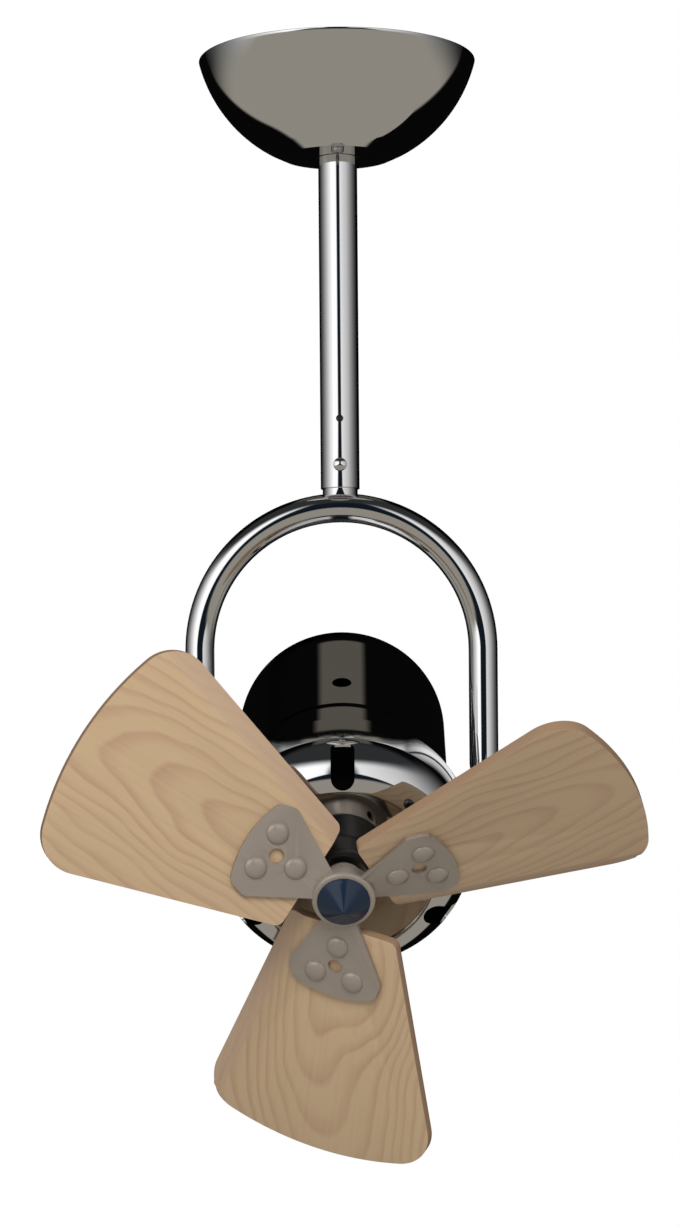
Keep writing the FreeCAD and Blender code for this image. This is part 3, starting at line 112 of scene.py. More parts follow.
class RodSizes(PropertyGroup):
    radius: length("Rod radius", "Outside of the rod", 10.65)
    pin_height: length("Pin height", "Swivel pin above the tilt axis", 190.3)
    pin: length("Pin", "Diameter of the swivel pin's head", 7.2)
    pin_rise: length("Pin rise", "Dome of the pin proud of the rod", 0.6)


class YokeSizes(PropertyGroup):
    radius: length("Bend radius", "Centre line of the bend", 77.55)
    leg: length("Leg", "From the tilt axis up to the bend's centre", 90.2)
    tube: length("Tube", "Outside diameter", 15.9)
    round_end: length("Round end", "Height above the tilt axis where the tube is still round", 28.0)
    flat_end: length("Flat end", "Height above the tilt axis where the tube is pressed flat", 12.0)
    eye_thickness: length("Eye thickness", "Across the pressed end", 8.0)
    eye_width: length("Eye width", "Width of the pressed end", 23.6)
    eye_round: length("Eye edge", "Round along the edges of the pressed end", 2.6)
    eye_centre: length("Eye centre", "Middle of a pressed end from the rod's axis", 76.7)
    collar: length("Collar", "Radius of the stem's collar under the rod", 9.6)
    collar_top: length("Collar top", "Collar's shoulder above the tilt axis", 177.7)
    collar_sunk: length("Collar seat", "How far the collar reaches down round the tube", 2.2)
    spigot: length("Spigot", "Radius of the stem inside the rod", 8.59)
    spigot_top: length("Spigot top", "End of the stem above the tilt axis", 224.1)
    bore: length("Bore", "Radius of the stem's bore", 4.5)


class HeadSizes(PropertyGroup):
    seam: length("Seam", "Seam of the rear cover behind the tilt axis", 20.0)
    rear_radius: length("Rear radius", "Outside of the rear cover", 58.4)
    rear_length: length("Rear length", "From the seam to the tail", 122.0)
    rear_dome: length("Rear dome", "Round of the tail", 50.0)
    rear_wall: length("Rear wall", "Thickness of the rear cover", 3.0)
    shell_radius: length("Shell radius", "Outside of the motor shell", 60.4)
    shell_shoulder: length("Shell shoulder", "Length of the shell's round shoulder", 9.0)
    shell_flange: length("Shell flange", "Thickness of the flange under the front cover", 1.5)
    rear_hole: length("Rear hole", "Diameter of the hole on top", 10.7)
    rear_hole_behind: length("Rear hole place", "Hole behind the seam", 23.5)
    cover_radius: length("Cover radius", "Outside of the front cover", 69.0)
    cover_back: length("Cover back", "Back edge ahead of the tilt axis", 17.0)
    cover_front: length("Cover front", "Crown of the round edge ahead of the tilt axis", 63.0)
    cover_edge: length("Cover edge", "Round of the cover's edge", 25.0)
    cover_wall: length("Cover wall", "Thickness of the pressed sheet", 1.4)
    step_radius: length("Step radius", "Edge of the sunk dish", 48.5)
    step: length("Step", "Depth of the step into the dish", 2.4)
    step_round: length("Step round", "Round of the step's edge", 1.7)
    dish: length("Dish", "Bottom of the dish ahead of the tilt axis", 52.0)
    dish_hole: length("Dish hole", "Radius of the hole for the bearing nose", 17.3)
    slot_inner: length("Slot start", "Inner end of a vent slot", 50.4)
    slot_width: length("Slot width", "Across a vent slot", 12.6)
    slot_floor: length("Slot floor", "How far back a slot is cut", 44.2)
    slot_corner: length("Slot corner", "Round of a slot's corners at the back", 3.0)
    slot_count: IntProperty(name="Slots", description="Vent slots round the cover", default=3, min=1)
    screw_radius: length("Screw circle", "Cover screws from the shaft", 54.0)
    screw_angle: FloatProperty(name="Screw angle", description="First cover screw round the shaft",
                               default=math.radians(50), subtype="ANGLE")
    screw_seat: length("Screw seat", "Cover screws' seats ahead of the tilt axis", 60.97)
    screw_head: length("Screw head", "Diameter of a cover screw's head", 5.6)
    screw_height: length("Screw height", "Height of a cover screw's head", 1.8)


class RotorSizes(PropertyGroup):
    blade_turn: FloatProperty(name="Blade turn", description="First blade round the shaft",
                              default=math.radians(23.5), subtype="ANGLE")
    blade_pitch: FloatProperty(name="Blade pitch", description="Tilt of a blade about its own length",
                               default=math.radians(23.2), subtype="ANGLE")
    blade_count: IntProperty(name="Blades", description="Blades round the hub", default=3, min=1)
    arm_plane: length("Arm plane", "Front of the arms ahead of the tilt axis", 87.0)
    arm_root: length("Arm root", "Start of an arm from the shaft", 12.0)
    arm_root_width: length("Arm root width", "Width of an arm at its start", 16.0)
    arm_corner: length("Arm corner", "Widest place of an arm from the shaft", 47.0)
    arm_corner_width: length("Arm corner width", "Width of an arm at its widest", 53.6)
    arm_tip: length("Arm tip", "End of an arm from the shaft", 62.0)
    arm_tip_width: length("Arm tip width", "Width of an arm at its end", 48.0)
    arm_round: length("Arm round", "Round of an arm's outer corners", 5.0)
    arm_thickness: length("Arm thickness", "Plate that an arm is made of", 2.5)
    rivet_centre: length("Rivet centre", "Middle of a blade's rivets from the shaft", 43.3)
    rivet_circle: length("Rivet circle", "Rivets from their middle", 12.3)
    rivet_head: length("Rivet head", "Diameter of a rivet's head", 12.2)
    rivet_height: length("Rivet height", "Height of a rivet's dome", 2.8)
    rivet_tail: length("Rivet tail", "Diameter of a rivet's tail behind the blade", 9.0)
    rivet_depth: length("Rivet depth", "From the front of the arm to the end of the tail", 9.7)
    blade_edge: length("Blade edge", "Round of the blades' edges", 0.7)
    bevel_width: length("Bevel width", "Bevel along one long edge of a blade", 9.5)
    bevel_drop: length("Bevel drop", "How far the bevel falls to the edge", 1.4)
    arm_edge: length("Arm edge", "Round of the arms' edges", 0.6)


class FanColours(PropertyGroup):
    chrome: colour("Chrome", "Bright plated steel", "#DADADA")
    taupe: colour("Taupe", "Satin lacquer on the hub and rivets", "#A89D92")
    enamel: colour("Enamel", "Gloss enamel on the nose cone", "#1B2A3E")
    wood_light: colour("Light wood", "Pale early wood", "#CBAE89")
    wood_dark: colour("Dark wood", "Darker late wood lines", "#B0866B")
    # The lipping's darker brown is partly the edge banding's own colour and partly painted shade along the edges.
    wood_edge_and_shade: colour("Wood edge", "Lipping round the blades", "#9E8064")
    # The bevel's pinker tone is partly the wood's own and partly painted shade for its face turned from the light.
    wood_bevel_and_shade: colour("Wood bevel", "Pinkish wood on the long bevel", "#C2A48A")
    steel: colour("Dark steel", "Blackened steel", "#4A4A4C")
    zinc: colour("Zinc", "Zinc plated steel", "#A9ABAC")
    aluminium: colour("Aluminium", "Cast aluminium", "#B4B4B6")
    # The bearing nose's dark grey is painted shade for the hollow round the shaft.
    casting: colour("Dark casting", "Dark grey paint on the bearing nose", "#3C3B3A")
    copper: colour("Copper", "Enamelled copper wire", "#9A5530")
    polymer: colour("Polymer", "Grey moulded plastic", "#444446")
    floor: colour("Floor", "Pale studio floor", "#E9E8E6")


class FanSettings(PropertyGroup):
    canopy: PointerProperty(type=CanopySizes)
    rod: PointerProperty(type=RodSizes)
    yoke: PointerProperty(type=YokeSizes)
    head: PointerProperty(type=HeadSizes)
    rotor: PointerProperty(type=RotorSizes)
    colours: PointerProperty(type=FanColours)


# Meshes

def arc(start, end, radius, steps=24):
    """Points of an arc from start to end that turns left, both ends included."""
    start, end = Vector(start), Vector(end)
    along = end - start
    left = Vector((-along.y, along.x)).normalized()
    rise = math.sqrt(max(radius * radius - along.length_squared / 4, 0))
    centre = (start + end) / 2 + left * rise
    first = math.atan2(start.y - centre.y, start.x - centre.x)
    sweep = 2 * math.asin(min(along.length / 2 / radius, 1))
    points = []
    for step in range(steps + 1):
        angle = first + sweep * step / steps
        points.append((centre.x + radius * math.cos(angle), centre.y + radius * math.sin(angle)))
    return points


def rounded(corners, steps=16):
    """Outline whose corners (x, y) or (x, y, radius) are rounded off where they have a radius."""
    points = []
    for i, corner in enumerate(corners):
        spot = Vector(corner[:2])
        if len(corner) < 3:
            points.append(tuple(spot))
            continue
        before, after = Vector(corners[i - 1][:2]), Vector(corners[(i + 1) % len(corners)][:2])
        come, go = (before - spot).normalized(), (after - spot).normalized()
        trim = corner[2] / math.tan(come.angle(go) / 2)
        start, end = spot + come * trim, spot + go * trim
        if come.x * go.y - come.y * go.x < 0:
            points.extend(arc(start, end, corner[2], steps))
        else:
            points.extend(reversed(arc(end, start, corner[2], steps)))
    return points


def grid_mesh(name, rings, loop_rings, loop_points):
    """Mesh of quads through rings of points, closed round the rings and along each ring where asked."""
    count = len(rings[0])
    vertices = [point for ring in rings for point in ring]
    faces = []
    for i in range(len(rings) if loop_rings else len(rings) - 1):
        for j in range(count if loop_points else count - 1):
            after_i, after_j = (i + 1) % len(rings), (j + 1) % count
            faces.append((i * count + j, after_i * count + j, after_i * count + after_j, i * count + after_j))
    mesh = bpy.data.meshes.new(name)
    mesh.from_pydata(vertices, [], faces)
    return clean(mesh)


def clean(mesh, crease=35):
    """Merges doubles, turns faces outward and shades smooth with sharp creases."""
    work = bmesh.new()
    work.from_mesh(mesh)
    bmesh.ops.remove_doubles(work, verts=work.verts, dist=2e-6)
    bmesh.ops.dissolve_degenerate(work, edges=work.edges, dist=1e-7)
    bmesh.ops.recalc_face_normals(work, faces=work.faces)
    work.to_mesh(mesh)
    work.free()
    mesh.polygons.foreach_set("use_smooth", [True] * len(mesh.polygons))
    mesh.set_sharp_from_angle(angle=math.radians(crease))
    return mesh


def lathe(name, outline, where, segments=160):
    """Closed outline of (radius, height) points turned about the Z axis of a place."""
    rings = []
    for step in range(segments):
        angle = 2 * math.pi * step / segments
        rings.append([where @ Vector((r * math.cos(angle), r * math.sin(angle), z)) for r, z in outline])
    return grid_mesh(name, rings, True, True)


def solid_copy(node, crease=35):
    """Copy of a CAD node's mesh with its loose triangles joined, shaded smooth."""
    source = frame["nodes"][node].data
    mesh = bpy.data.meshes.new(node + "_dressed")
    mesh.from_pydata([vertex.co for vertex in source.vertices], [],
                     [tuple(polygon.vertices) for polygon in source.polygons])
    return clean(mesh, crease)


def flatten(mesh, angle=1):
    """Joins the triangles of flat faces, so that edges can be rounded."""
    work = bmesh.new()
    work.from_mesh(mesh)
    bmesh.ops.dissolve_limit(work, angle_limit=math.radians(angle), verts=work.verts, edges=work.edges)
    work.to_mesh(mesh)
    work.free()


def prism(name, outline, low, high, where):
    """Upright block over a closed outline, between two heights of a place."""
    rings = [[where @ Vector((x, y, z)) for x, y in outline] for z in (low, high)]
    count = len(outline)
    mesh = bpy.data.meshes.new(name)
    sides = [(j, (j + 1) % count, count + (j + 1) % count, count + j) for j in range(count)]
    mesh.from_pydata(rings[0] + rings[1], [],
                     sides + [tuple(range(count)), tuple(range(count, 2 * count))])
    return clean(mesh)


def new_object(name, mesh):
    """Object at the origin that shows a mesh."""
    piece = bpy.data.objects.new(name, mesh)
    bpy.context.scene.collection.objects.link(piece)
    return piece


def apply_modifiers(piece, crease=35):
    """Makes the evaluated shape the piece's own plain mesh."""
    held = bpy.context.evaluated_depsgraph_get()
    mesh = bpy.data.meshes.new_from_object(piece.evaluated_get(held))
    piece.modifiers.clear()
    old = piece.data
    piece.data = mesh
    bpy.data.meshes.remove(old)
    mesh.polygons.foreach_set("use_smooth", [True] * len(mesh.polygons))
    mesh.set_sharp_from_angle(angle=math.radians(crease))


def carve(piece, cutters):
    """Cuts blocks out of a piece and removes the blocks."""
    for cutter in cutters:
        cut = piece.modifiers.new("cut", "BOOLEAN")
        cut.object = cutter
        cut.operation = "DIFFERENCE"
        cut.solver = "EXACT"
    apply_modifiers(piece)
    for cutter in cutters:
        mesh = cutter.data
        bpy.data.objects.remove(cutter)
        bpy.data.meshes.remove(mesh)


def soften(piece, width, crease=35):
    """Rounds the sharp edges of a piece by a small width."""
    bevel = piece.modifiers.new("soft edge", "BEVEL")
    bevel.width = width
    bevel.segments = 3
    bevel.limit_method = "ANGLE"
    bevel.angle_limit = math.radians(crease)
    apply_modifiers(piece, crease)


def seat(piece, body, slot, *nodes):
    """Gives a finished piece its material, its body and the CAD nodes that it stands for."""
    piece.data.materials.clear()
    piece.data.materials.append(finish_of(slot))
    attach(piece, body)
    if nodes:
        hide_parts(*nodes)


def dress_copy(node, body, slot, crease=35):
    """Smoothly shaded copy of a CAD node in its finish."""
    seat(new_object(node + "_dressed", solid_copy(node, crease)), body, slot, node)


# Materials

MATH = "ShaderNodeMath"
MIX = "ShaderNodeMix"
RANGE = "ShaderNodeMapRange"


def add(tree, kind, inputs=None, **settings):
    """One node with its settings, and for each named input a link from a socket or a plain value."""
    node = tree.nodes.new(kind)
    for key, value in settings.items():
        setattr(node, key, value)
    for name, value in (inputs or {}).items():
        if isinstance(value, bpy.types.NodeSocket):
            tree.links.new(value, node.inputs[name])
        else:
            node.inputs[name].default_value = value
    return node


def opaque(rgb):
    """Colour with full alpha, as a node's socket takes it."""
    return (rgb[0], rgb[1], rgb[2], 1)


def new_material(name):
    """Empty material and its shader node."""
    material = bpy.data.materials.new(name)
    material.use_nodes = True
    return material, material.node_tree.nodes["Principled BSDF"]


def plain(name, rgb, metallic, roughness):
    """Material of one even colour."""
    material, shader = new_material(name)
    shader.inputs["Base Color"].default_value = opaque(rgb)
    shader.inputs["Metallic"].default_value = metallic
    shader.inputs["Roughness"].default_value = roughness
    return material


def chrome_plate(colours):
    """Polished chrome plate: a clean mirror, only slightly darker than the light that falls on it."""
    return plain("polished chrome plate", colours.chrome, 1, 0.04)


def satin_taupe(colours):
    """Satin lacquer on cast metal: a soft wide highlight and no grain."""
    return plain("satin taupe lacquer", colours.taupe, 0.4, 0.33)


def blackened_steel(colours):
    """Oil-blackened steel: nearly black, with a small metal sheen."""
    return plain("blackened steel", colours.steel, 1, 0.3)


def zinc_plate(colours):
    """Zinc plated steel: pale grey metal that blurs what it mirrors."""
    return plain("zinc plated steel", colours.zinc, 1, 0.35)


def casting_with_painted_shade(colours):
    """Dark grey casting with a soft half-metal shine: its charcoal is painted shade for the hollow round the
    shaft.
    """
    return plain("dark casting with painted shade", colours.casting, 0.6, 0.32)


def cast_aluminium(colours):
    """Cast aluminium as it leaves the mould: light grey and dull."""
    return plain("cast aluminium", colours.aluminium, 1, 0.45)


def copper_wire(colours):
    """Enamelled copper wire: reddish brown metal under clear lacquer."""
    return plain("enamelled copper wire", colours.copper, 1, 0.35)


def moulded_polymer(colours):
    """Moulded polymer: even dark grey without metal shine."""
    return plain("moulded grey polymer", colours.polymer, 0, 0.5)


def gloss_enamel(colours):
    """Gloss enamel on a turned cone: a dark body colour under sharp reflections."""
    material, shader = new_material("gloss blue-grey enamel")
    shader.inputs["Base Color"].default_value = opaque(colours.enamel)
    shader.inputs["Roughness"].default_value = 0.15
    shader.inputs["Specular IOR Level"].default_value = 0.3
    return material


def varnished_maple(colours):
    """Maple veneer under satin varnish: pale wood with long arched rings, a bevel in a pinker tone that is partly
    painted shade, and a darker lipping that is partly painted shade on the edges turned from the light.
    """
    # Year rings as the knife lays them open: arches five times as long as they are wide, which wander.
    ring_spacing = 6.25 * MM
    ring_slimness = 0.2
    wander = 70 * MM
    # Sizes along and across the grain of the wandering, of the places where rings fade, and of the streaks.
    # The pores of maple are about 0.1 mm wide, too fine to show, so the streaks are drawn coarser.
    wander_size = (143 * MM, 71.4 * MM)
    fade_size = (125 * MM, 25 * MM)
    streak_size = (71.4 * MM, 1.43 * MM)
    ring_strength, streak_strength, bevel_tone_and_shade_share = 0.85, 0.5, 0.7
    material, shader = new_material("varnished maple")
    tree = material.node_tree
    grain = add(tree, "ShaderNodeUVMap", uv_map="grain").outputs["UV"]
    sheet = add(tree, "ShaderNodeAttribute", attribute_name="sheet").outputs["Fac"]
    clouds = []
    for (along, across), detail in ((wander_size, 2.5), (fade_size, 2.0), (streak_size, 2.0)):
        at = add(tree, "ShaderNodeMapping", {"Vector": grain, "Scale": (1 / along, 1 / across, 1)})
        cloud = add(tree, "ShaderNodeTexNoise", noise_dimensions="4D", inputs={
            "Vector": at.outputs["Vector"], "W": sheet, "Scale": 1.0, "Detail": detail})
        clouds.append(cloud.outputs["Fac"])
    wandering, fading, streaking = clouds
    place = add(tree, "ShaderNodeSeparateXYZ", {0: grain})
    shift = add(tree, MATH, {0: wandering, 1: wander, 2: -wander / 2}, operation="MULTIPLY_ADD")
    bent = add(tree, MATH, {0: place.outputs["Y"], 1: shift.outputs[0]}, operation="ADD")
    drawn = add(tree, MATH, {0: place.outputs["X"], 1: ring_slimness}, operation="MULTIPLY")
    spot = add(tree, "ShaderNodeCombineXYZ", {"X": bent.outputs[0], "Y": drawn.outputs[0]})
    reach = add(tree, "ShaderNodeVectorMath", {0: spot.outputs["Vector"]}, operation="LENGTH")
    rings = add(tree, MATH, {0: reach.outputs["Value"], 1: ring_spacing}, operation="DIVIDE")
    ring = add(tree, MATH, {0: rings.outputs[0]}, operation="FRACT")
    line = add(tree, "ShaderNodeValToRGB", {"Fac": ring.outputs[0]})
    for position, level in ((0.45, 0.1), (0.87, 1)):
        line.color_ramp.elements.new(position).color = opaque((level, level, level))
    line.color_ramp.elements[0].color = (0, 0, 0, 1)
    line.color_ramp.elements[-1].color = (0, 0, 0, 1)
    fade = add(tree, MATH, {0: fading, 1: ring_strength}, operation="MULTIPLY")
    streak = add(tree, MATH, {0: streaking, 1: streak_strength, 2: -streak_strength / 2},
                 operation="MULTIPLY_ADD")
    dark = add(tree, MATH, {0: line.outputs["Color"], 1: fade.outputs[0], 2: streak.outputs[0]},
               operation="MULTIPLY_ADD")
    wood = add(tree, MIX, data_type="RGBA", inputs={
        "Factor": dark.outputs[0], 6: opaque(colours.wood_light), 7: opaque(colours.wood_dark)})
    # The bevel and the lipping are mixed in darker: partly their own tone, partly painted shade where they turn
    # from the light.
    for mark, share, tone in (("bevel", bevel_tone_and_shade_share, colours.wood_bevel_and_shade), ("lipping_and_shade", 1, colours.wood_edge_and_shade)):
        marked = add(tree, "ShaderNodeAttribute", attribute_name=mark)
        part = add(tree, MATH, {0: marked.outputs["Fac"], 1: share}, operation="MULTIPLY")
        wood = add(tree, MIX, data_type="RGBA", inputs={
            "Factor": part.outputs[0], 6: wood.outputs[2], 7: opaque(tone)})
    tree.links.new(wood.outputs[2], shader.inputs["Base Color"])
    shader.inputs["Roughness"].default_value = 0.45
    return material


MAKERS = {
    "chrome": chrome_plate,
    "maple": varnished_maple,
    "taupe_metal": satin_taupe,
    "blue_grey_enamel": gloss_enamel,
    "dark_steel": blackened_steel,
    "zinc_steel": zinc_plate,
    "dark_casting": casting_with_painted_shade,
    "cast_aluminium": cast_aluminium,
    "copper_wire": copper_wire,
    "grey_polymer": moulded_polymer,
}
FINISHES = {}


def finish_of(slot):
    """Material of one of the record's slots, made once."""
    if slot not in FINISHES:
        FINISHES[slot] = MAKERS[slot](bpy.context.scene.fan.colours)
    return FINISHES[slot]


# Repeated pieces, made by Geometry Nodes

def new_tree(name, sizes):
    """Empty geometry tree with named inputs for its sizes."""
    tree = bpy.data.node_groups.new(name, "GeometryNodeTree")
    for size_name, kind in sizes:
        tree.interface.new_socket(name=size_name, in_out="INPUT", socket_type=kind)
    tree.interface.new_socket(name="Geometry", in_out="OUTPUT", socket_type="NodeSocketGeometry")
    start = tree.nodes.new("NodeGroupInput")
    end = tree.nodes.new("NodeGroupOutput")
    return tree, start, end


def run_tree(name, tree, values):
    """Plain mesh object made by a geometry tree with the given input values."""
    piece = new_object(name, bpy.data.meshes.new(name + "_start"))
    modifier = piece.modifiers.new("pattern", "NODES")
    modifier.node_group = tree
    for item in tree.interface.items_tree:
        if item.in_out == "INPUT" and item.name in values:
            modifier[item.identifier] = values[item.name]
    apply_modifiers(piece)
    return piece


def screw_tree():
    """Pan head screws with a cross recess, equally spaced on a circle."""
    tree, start, end = new_tree("cross head screws", [
        ("Count", "NodeSocketInt"), ("Circle", "NodeSocketFloat"), ("Start angle", "NodeSocketFloat"),
        ("Head radius", "NodeSocketFloat"), ("Head height", "NodeSocketFloat"),
        ("Origin", "NodeSocketVector"), ("Turn", "NodeSocketRotation"), ("Finish", "NodeSocketMaterial")])
    given = start.outputs
    top_share, recess_length, recess_width = 0.72, 1.15, 0.3
    side = add(tree, MATH, {0: given["Head height"], 1: 0.5}, operation="MULTIPLY")
    top = add(tree, MATH, {0: given["Head radius"], 1: top_share}, operation="MULTIPLY")
    lower = add(tree, "GeometryNodeMeshCone", {
        "Radius Top": given["Head radius"], "Radius Bottom": given["Head radius"],
        "Depth": side.outputs[0], "Vertices": 32})
    upper = add(tree, "GeometryNodeMeshCone", {
        "Radius Top": top.outputs[0], "Radius Bottom": given["Head radius"],
        "Depth": side.outputs[0], "Vertices": 32})
    lift = add(tree, "ShaderNodeCombineXYZ", {"Z": side.outputs[0]})
    raised = add(tree, "GeometryNodeTransform", {"Geometry": upper.outputs["Mesh"],
                                                 "Translation": lift.outputs["Vector"]})
    head = add(tree, "GeometryNodeMeshBoolean", operation="UNION", solver="MANIFOLD")
    tree.links.new(lower.outputs["Mesh"], head.inputs["Mesh 2"])
    tree.links.new(raised.outputs["Geometry"], head.inputs["Mesh 2"])
    long_side = add(tree, MATH, {0: given["Head radius"], 1: recess_length}, operation="MULTIPLY")
    short_side = add(tree, MATH, {0: given["Head radius"], 1: recess_width}, operation="MULTIPLY")
    deep = add(tree, "ShaderNodeCombineXYZ", {"Z": given["Head height"]})
    cut = add(tree, "GeometryNodeMeshBoolean", {"Mesh 1": head.outputs["Mesh"]},
              operation="DIFFERENCE", solver="MANIFOLD")
    for x, y in ((long_side, short_side), (short_side, long_side)):
        span = add(tree, "ShaderNodeCombineXYZ", {"X": x.outputs[0], "Y": y.outputs[0],
                                                  "Z": given["Head height"]})
        bar = add(tree, "GeometryNodeMeshCube", {"Size": span.outputs["Vector"]})
        placed = add(tree, "GeometryNodeTransform", {"Geometry": bar.outputs["Mesh"],
                                                     "Translation": deep.outputs["Vector"]})
        tree.links.new(placed.outputs["Geometry"], cut.inputs["Mesh 2"])
    outward = add(tree, "ShaderNodeCombineXYZ", {"X": given["Circle"]})
    offset = add(tree, "GeometryNodeTransform", {"Geometry": cut.outputs["Mesh"],
                                                 "Translation": outward.outputs["Vector"]})
    middle = add(tree, "GeometryNodePoints", {"Count": given["Count"]})
    step = add(tree, MATH, {0: 2 * math.pi, 1: given["Count"]}, operation="DIVIDE")
    number = add(tree, "GeometryNodeInputIndex")
    angle = add(tree, MATH, operation="MULTIPLY_ADD", inputs={
        0: number.outputs["Index"], 1: step.outputs[0], 2: given["Start angle"]})
    about = add(tree, "ShaderNodeCombineXYZ", {"Z": angle.outputs[0]})
    spread = add(tree, "GeometryNodeInstanceOnPoints", {"Points": middle.outputs["Points"],
                                                        "Instance": offset.outputs["Geometry"],
                                                        "Rotation": about.outputs["Vector"]})
    seated = add(tree, "GeometryNodeTransform", {"Geometry": spread.outputs["Instances"],
                                                 "Translation": given["Origin"], "Rotation": given["Turn"]})
    real = add(tree, "GeometryNodeRealizeInstances", {"Geometry": seated.outputs["Geometry"]})
    painted = add(tree, "GeometryNodeSetMaterial", {"Geometry": real.outputs["Geometry"],
                                                    "Material": given["Finish"]})
    tree.links.new(painted.outputs["Geometry"], end.inputs["Geometry"])
    return tree


def rivet_tree():
    """Domed rivets in threes, one three on the arm of each blade."""
    tree, start, end = new_tree("blade rivets", [
        ("Blades", "NodeSocketInt"), ("Blade turn", "NodeSocketFloat"), ("Pitch", "NodeSocketFloat"),
        ("Arm plane", "NodeSocketFloat"), ("Centre", "NodeSocketFloat"), ("Circle", "NodeSocketFloat"),
        ("Head radius", "NodeSocketFloat"), ("Head height", "NodeSocketFloat"),
        ("Tail radius", "NodeSocketFloat"), ("Depth", "NodeSocketFloat"),
        ("Origin", "NodeSocketVector"), ("Turn", "NodeSocketRotation"), ("Finish", "NodeSocketMaterial")])
    given = start.outputs
    ball = add(tree, "GeometryNodeMeshUVSphere", {"Segments": 40, "Rings": 20, "Radius": 1.0})
    flat = add(tree, "ShaderNodeCombineXYZ", {"X": given["Head radius"], "Y": given["Head radius"],
                                              "Z": given["Head height"]})
    head = add(tree, "GeometryNodeTransform", {"Geometry": ball.outputs["Mesh"], "Scale": flat.outputs[0]})
    shank = add(tree, "GeometryNodeMeshCylinder", {
        "Radius": given["Tail radius"], "Vertices": 40, "Depth": 1.0})
    stretch = add(tree, "ShaderNodeCombineXYZ", {"X": 1.0, "Y": 1.0, "Z": given["Depth"]})
    half_down = add(tree, MATH, {0: given["Depth"], 1: -0.5}, operation="MULTIPLY")
    below = add(tree, "ShaderNodeCombineXYZ", {"Z": half_down.outputs[0]})
    tail = add(tree, "GeometryNodeTransform", {"Geometry": shank.outputs["Mesh"], "Scale": stretch.outputs[0],
                                               "Translation": below.outputs[0]})
    rivet = add(tree, "GeometryNodeJoinGeometry")
    tree.links.new(head.outputs["Geometry"], rivet.inputs["Geometry"])
    tree.links.new(tail.outputs["Geometry"], rivet.inputs["Geometry"])
    ring = add(tree, "GeometryNodeMeshCircle", {"Radius": given["Circle"], "Vertices": 3})
    three = add(tree, "GeometryNodeInstanceOnPoints", {"Points": ring.outputs["Mesh"],
                                                       "Instance": rivet.outputs["Geometry"]})
    middle = add(tree, "ShaderNodeCombineXYZ", {"X": given["Centre"]})
    inward = add(tree, "GeometryNodeTransform", {"Geometry": three.outputs["Instances"],
                                                 "Translation": middle.outputs[0],
                                                 "Rotation": (0, 0, math.pi)})
    lift = add(tree, "ShaderNodeCombineXYZ", {"Z": given["Arm plane"]})
    tilt = add(tree, "ShaderNodeCombineXYZ", {"X": given["Pitch"]})
    pitched = add(tree, "GeometryNodeTransform", {
        "Geometry": inward.outputs["Geometry"], "Translation": lift.outputs[0], "Rotation": tilt.outputs[0]})
    arms = add(tree, "GeometryNodePoints", {"Count": given["Blades"]})
    step = add(tree, MATH, {0: 2 * math.pi, 1: given["Blades"]}, operation="DIVIDE")
    index = add(tree, "GeometryNodeInputIndex")
    turn = add(tree, MATH, operation="MULTIPLY_ADD", inputs={
        0: index.outputs[0], 1: step.outputs[0], 2: given["Blade turn"]})
    about = add(tree, "ShaderNodeCombineXYZ", {"Z": turn.outputs[0]})
    spread = add(tree, "GeometryNodeInstanceOnPoints", {"Points": arms.outputs[0],
                                                        "Instance": pitched.outputs["Geometry"],
                                                        "Rotation": about.outputs[0]})
    seated = add(tree, "GeometryNodeTransform", {"Geometry": spread.outputs["Instances"],
                                                 "Translation": given["Origin"], "Rotation": given["Turn"]})
    real = add(tree, "GeometryNodeRealizeInstances", {"Geometry": seated.outputs["Geometry"]})
    painted = add(tree, "GeometryNodeSetMaterial", {"Geometry": real.outputs["Geometry"],
                                                    "Material": given["Finish"]})
    tree.links.new(painted.outputs["Geometry"], end.inputs["Geometry"])
    return tree


# Operators

CUT_OVERRUN = 1.1


class FAN_OT_canopy(Operator):
    """Bowl canopy at the ceiling with its two screws"""
    bl_idname = "fan.canopy"
    bl_label = "Canopy"

    def execute(self, context):
        s = context.scene.fan.canopy
        steps, bead_end = 48, 6
        side = arc((s.floor, -s.depth), (s.radius, -s.gap - s.band), s.bulge, steps)
        inner = arc((s.floor, s.wall - s.depth), (s.radius - s.wall, -s.gap - s.band),
                    s.bulge - s.wall, steps)
        corner = rounded([(s.hole, -s.depth), (s.floor, -s.depth, s.bead), side[bead_end]], 8)
        rim = rounded([(s.radius, -s.gap - s.band), (s.radius, -s.gap, s.rim_round),
                       (s.radius - s.lip, -s.gap), (s.radius - s.lip, -s.gap - s.wall),
                       (s.radius - s.wall, -s.gap - s.wall)], 10)
        outline = corner + side[bead_end + 1:] + rim[1:] + inner[::-1] + [(s.hole, s.wall - s.depth)]
        bowl = new_object("canopy_bowl", lathe("canopy_bowl", outline, CEILING, 256))
        seat(bowl, "ceiling_mount", "chrome", "canopy")
        screws = run_tree("canopy_screws_dressed", screw_tree(), {
            "Count": 2, "Circle": s.screw_offset, "Start angle": math.pi / 2,
            "Head radius": s.screw_head / 2, "Head height": s.screw_height,
            "Origin": Vector((0, 0, -s.depth)), "Turn": Matrix.Rotation(math.pi, 3, "X").to_euler(),
            "Finish": finish_of("zinc_steel")})
        seat(screws, "ceiling_mount", "zinc_steel", "canopy_screws")
        return {"FINISHED"}


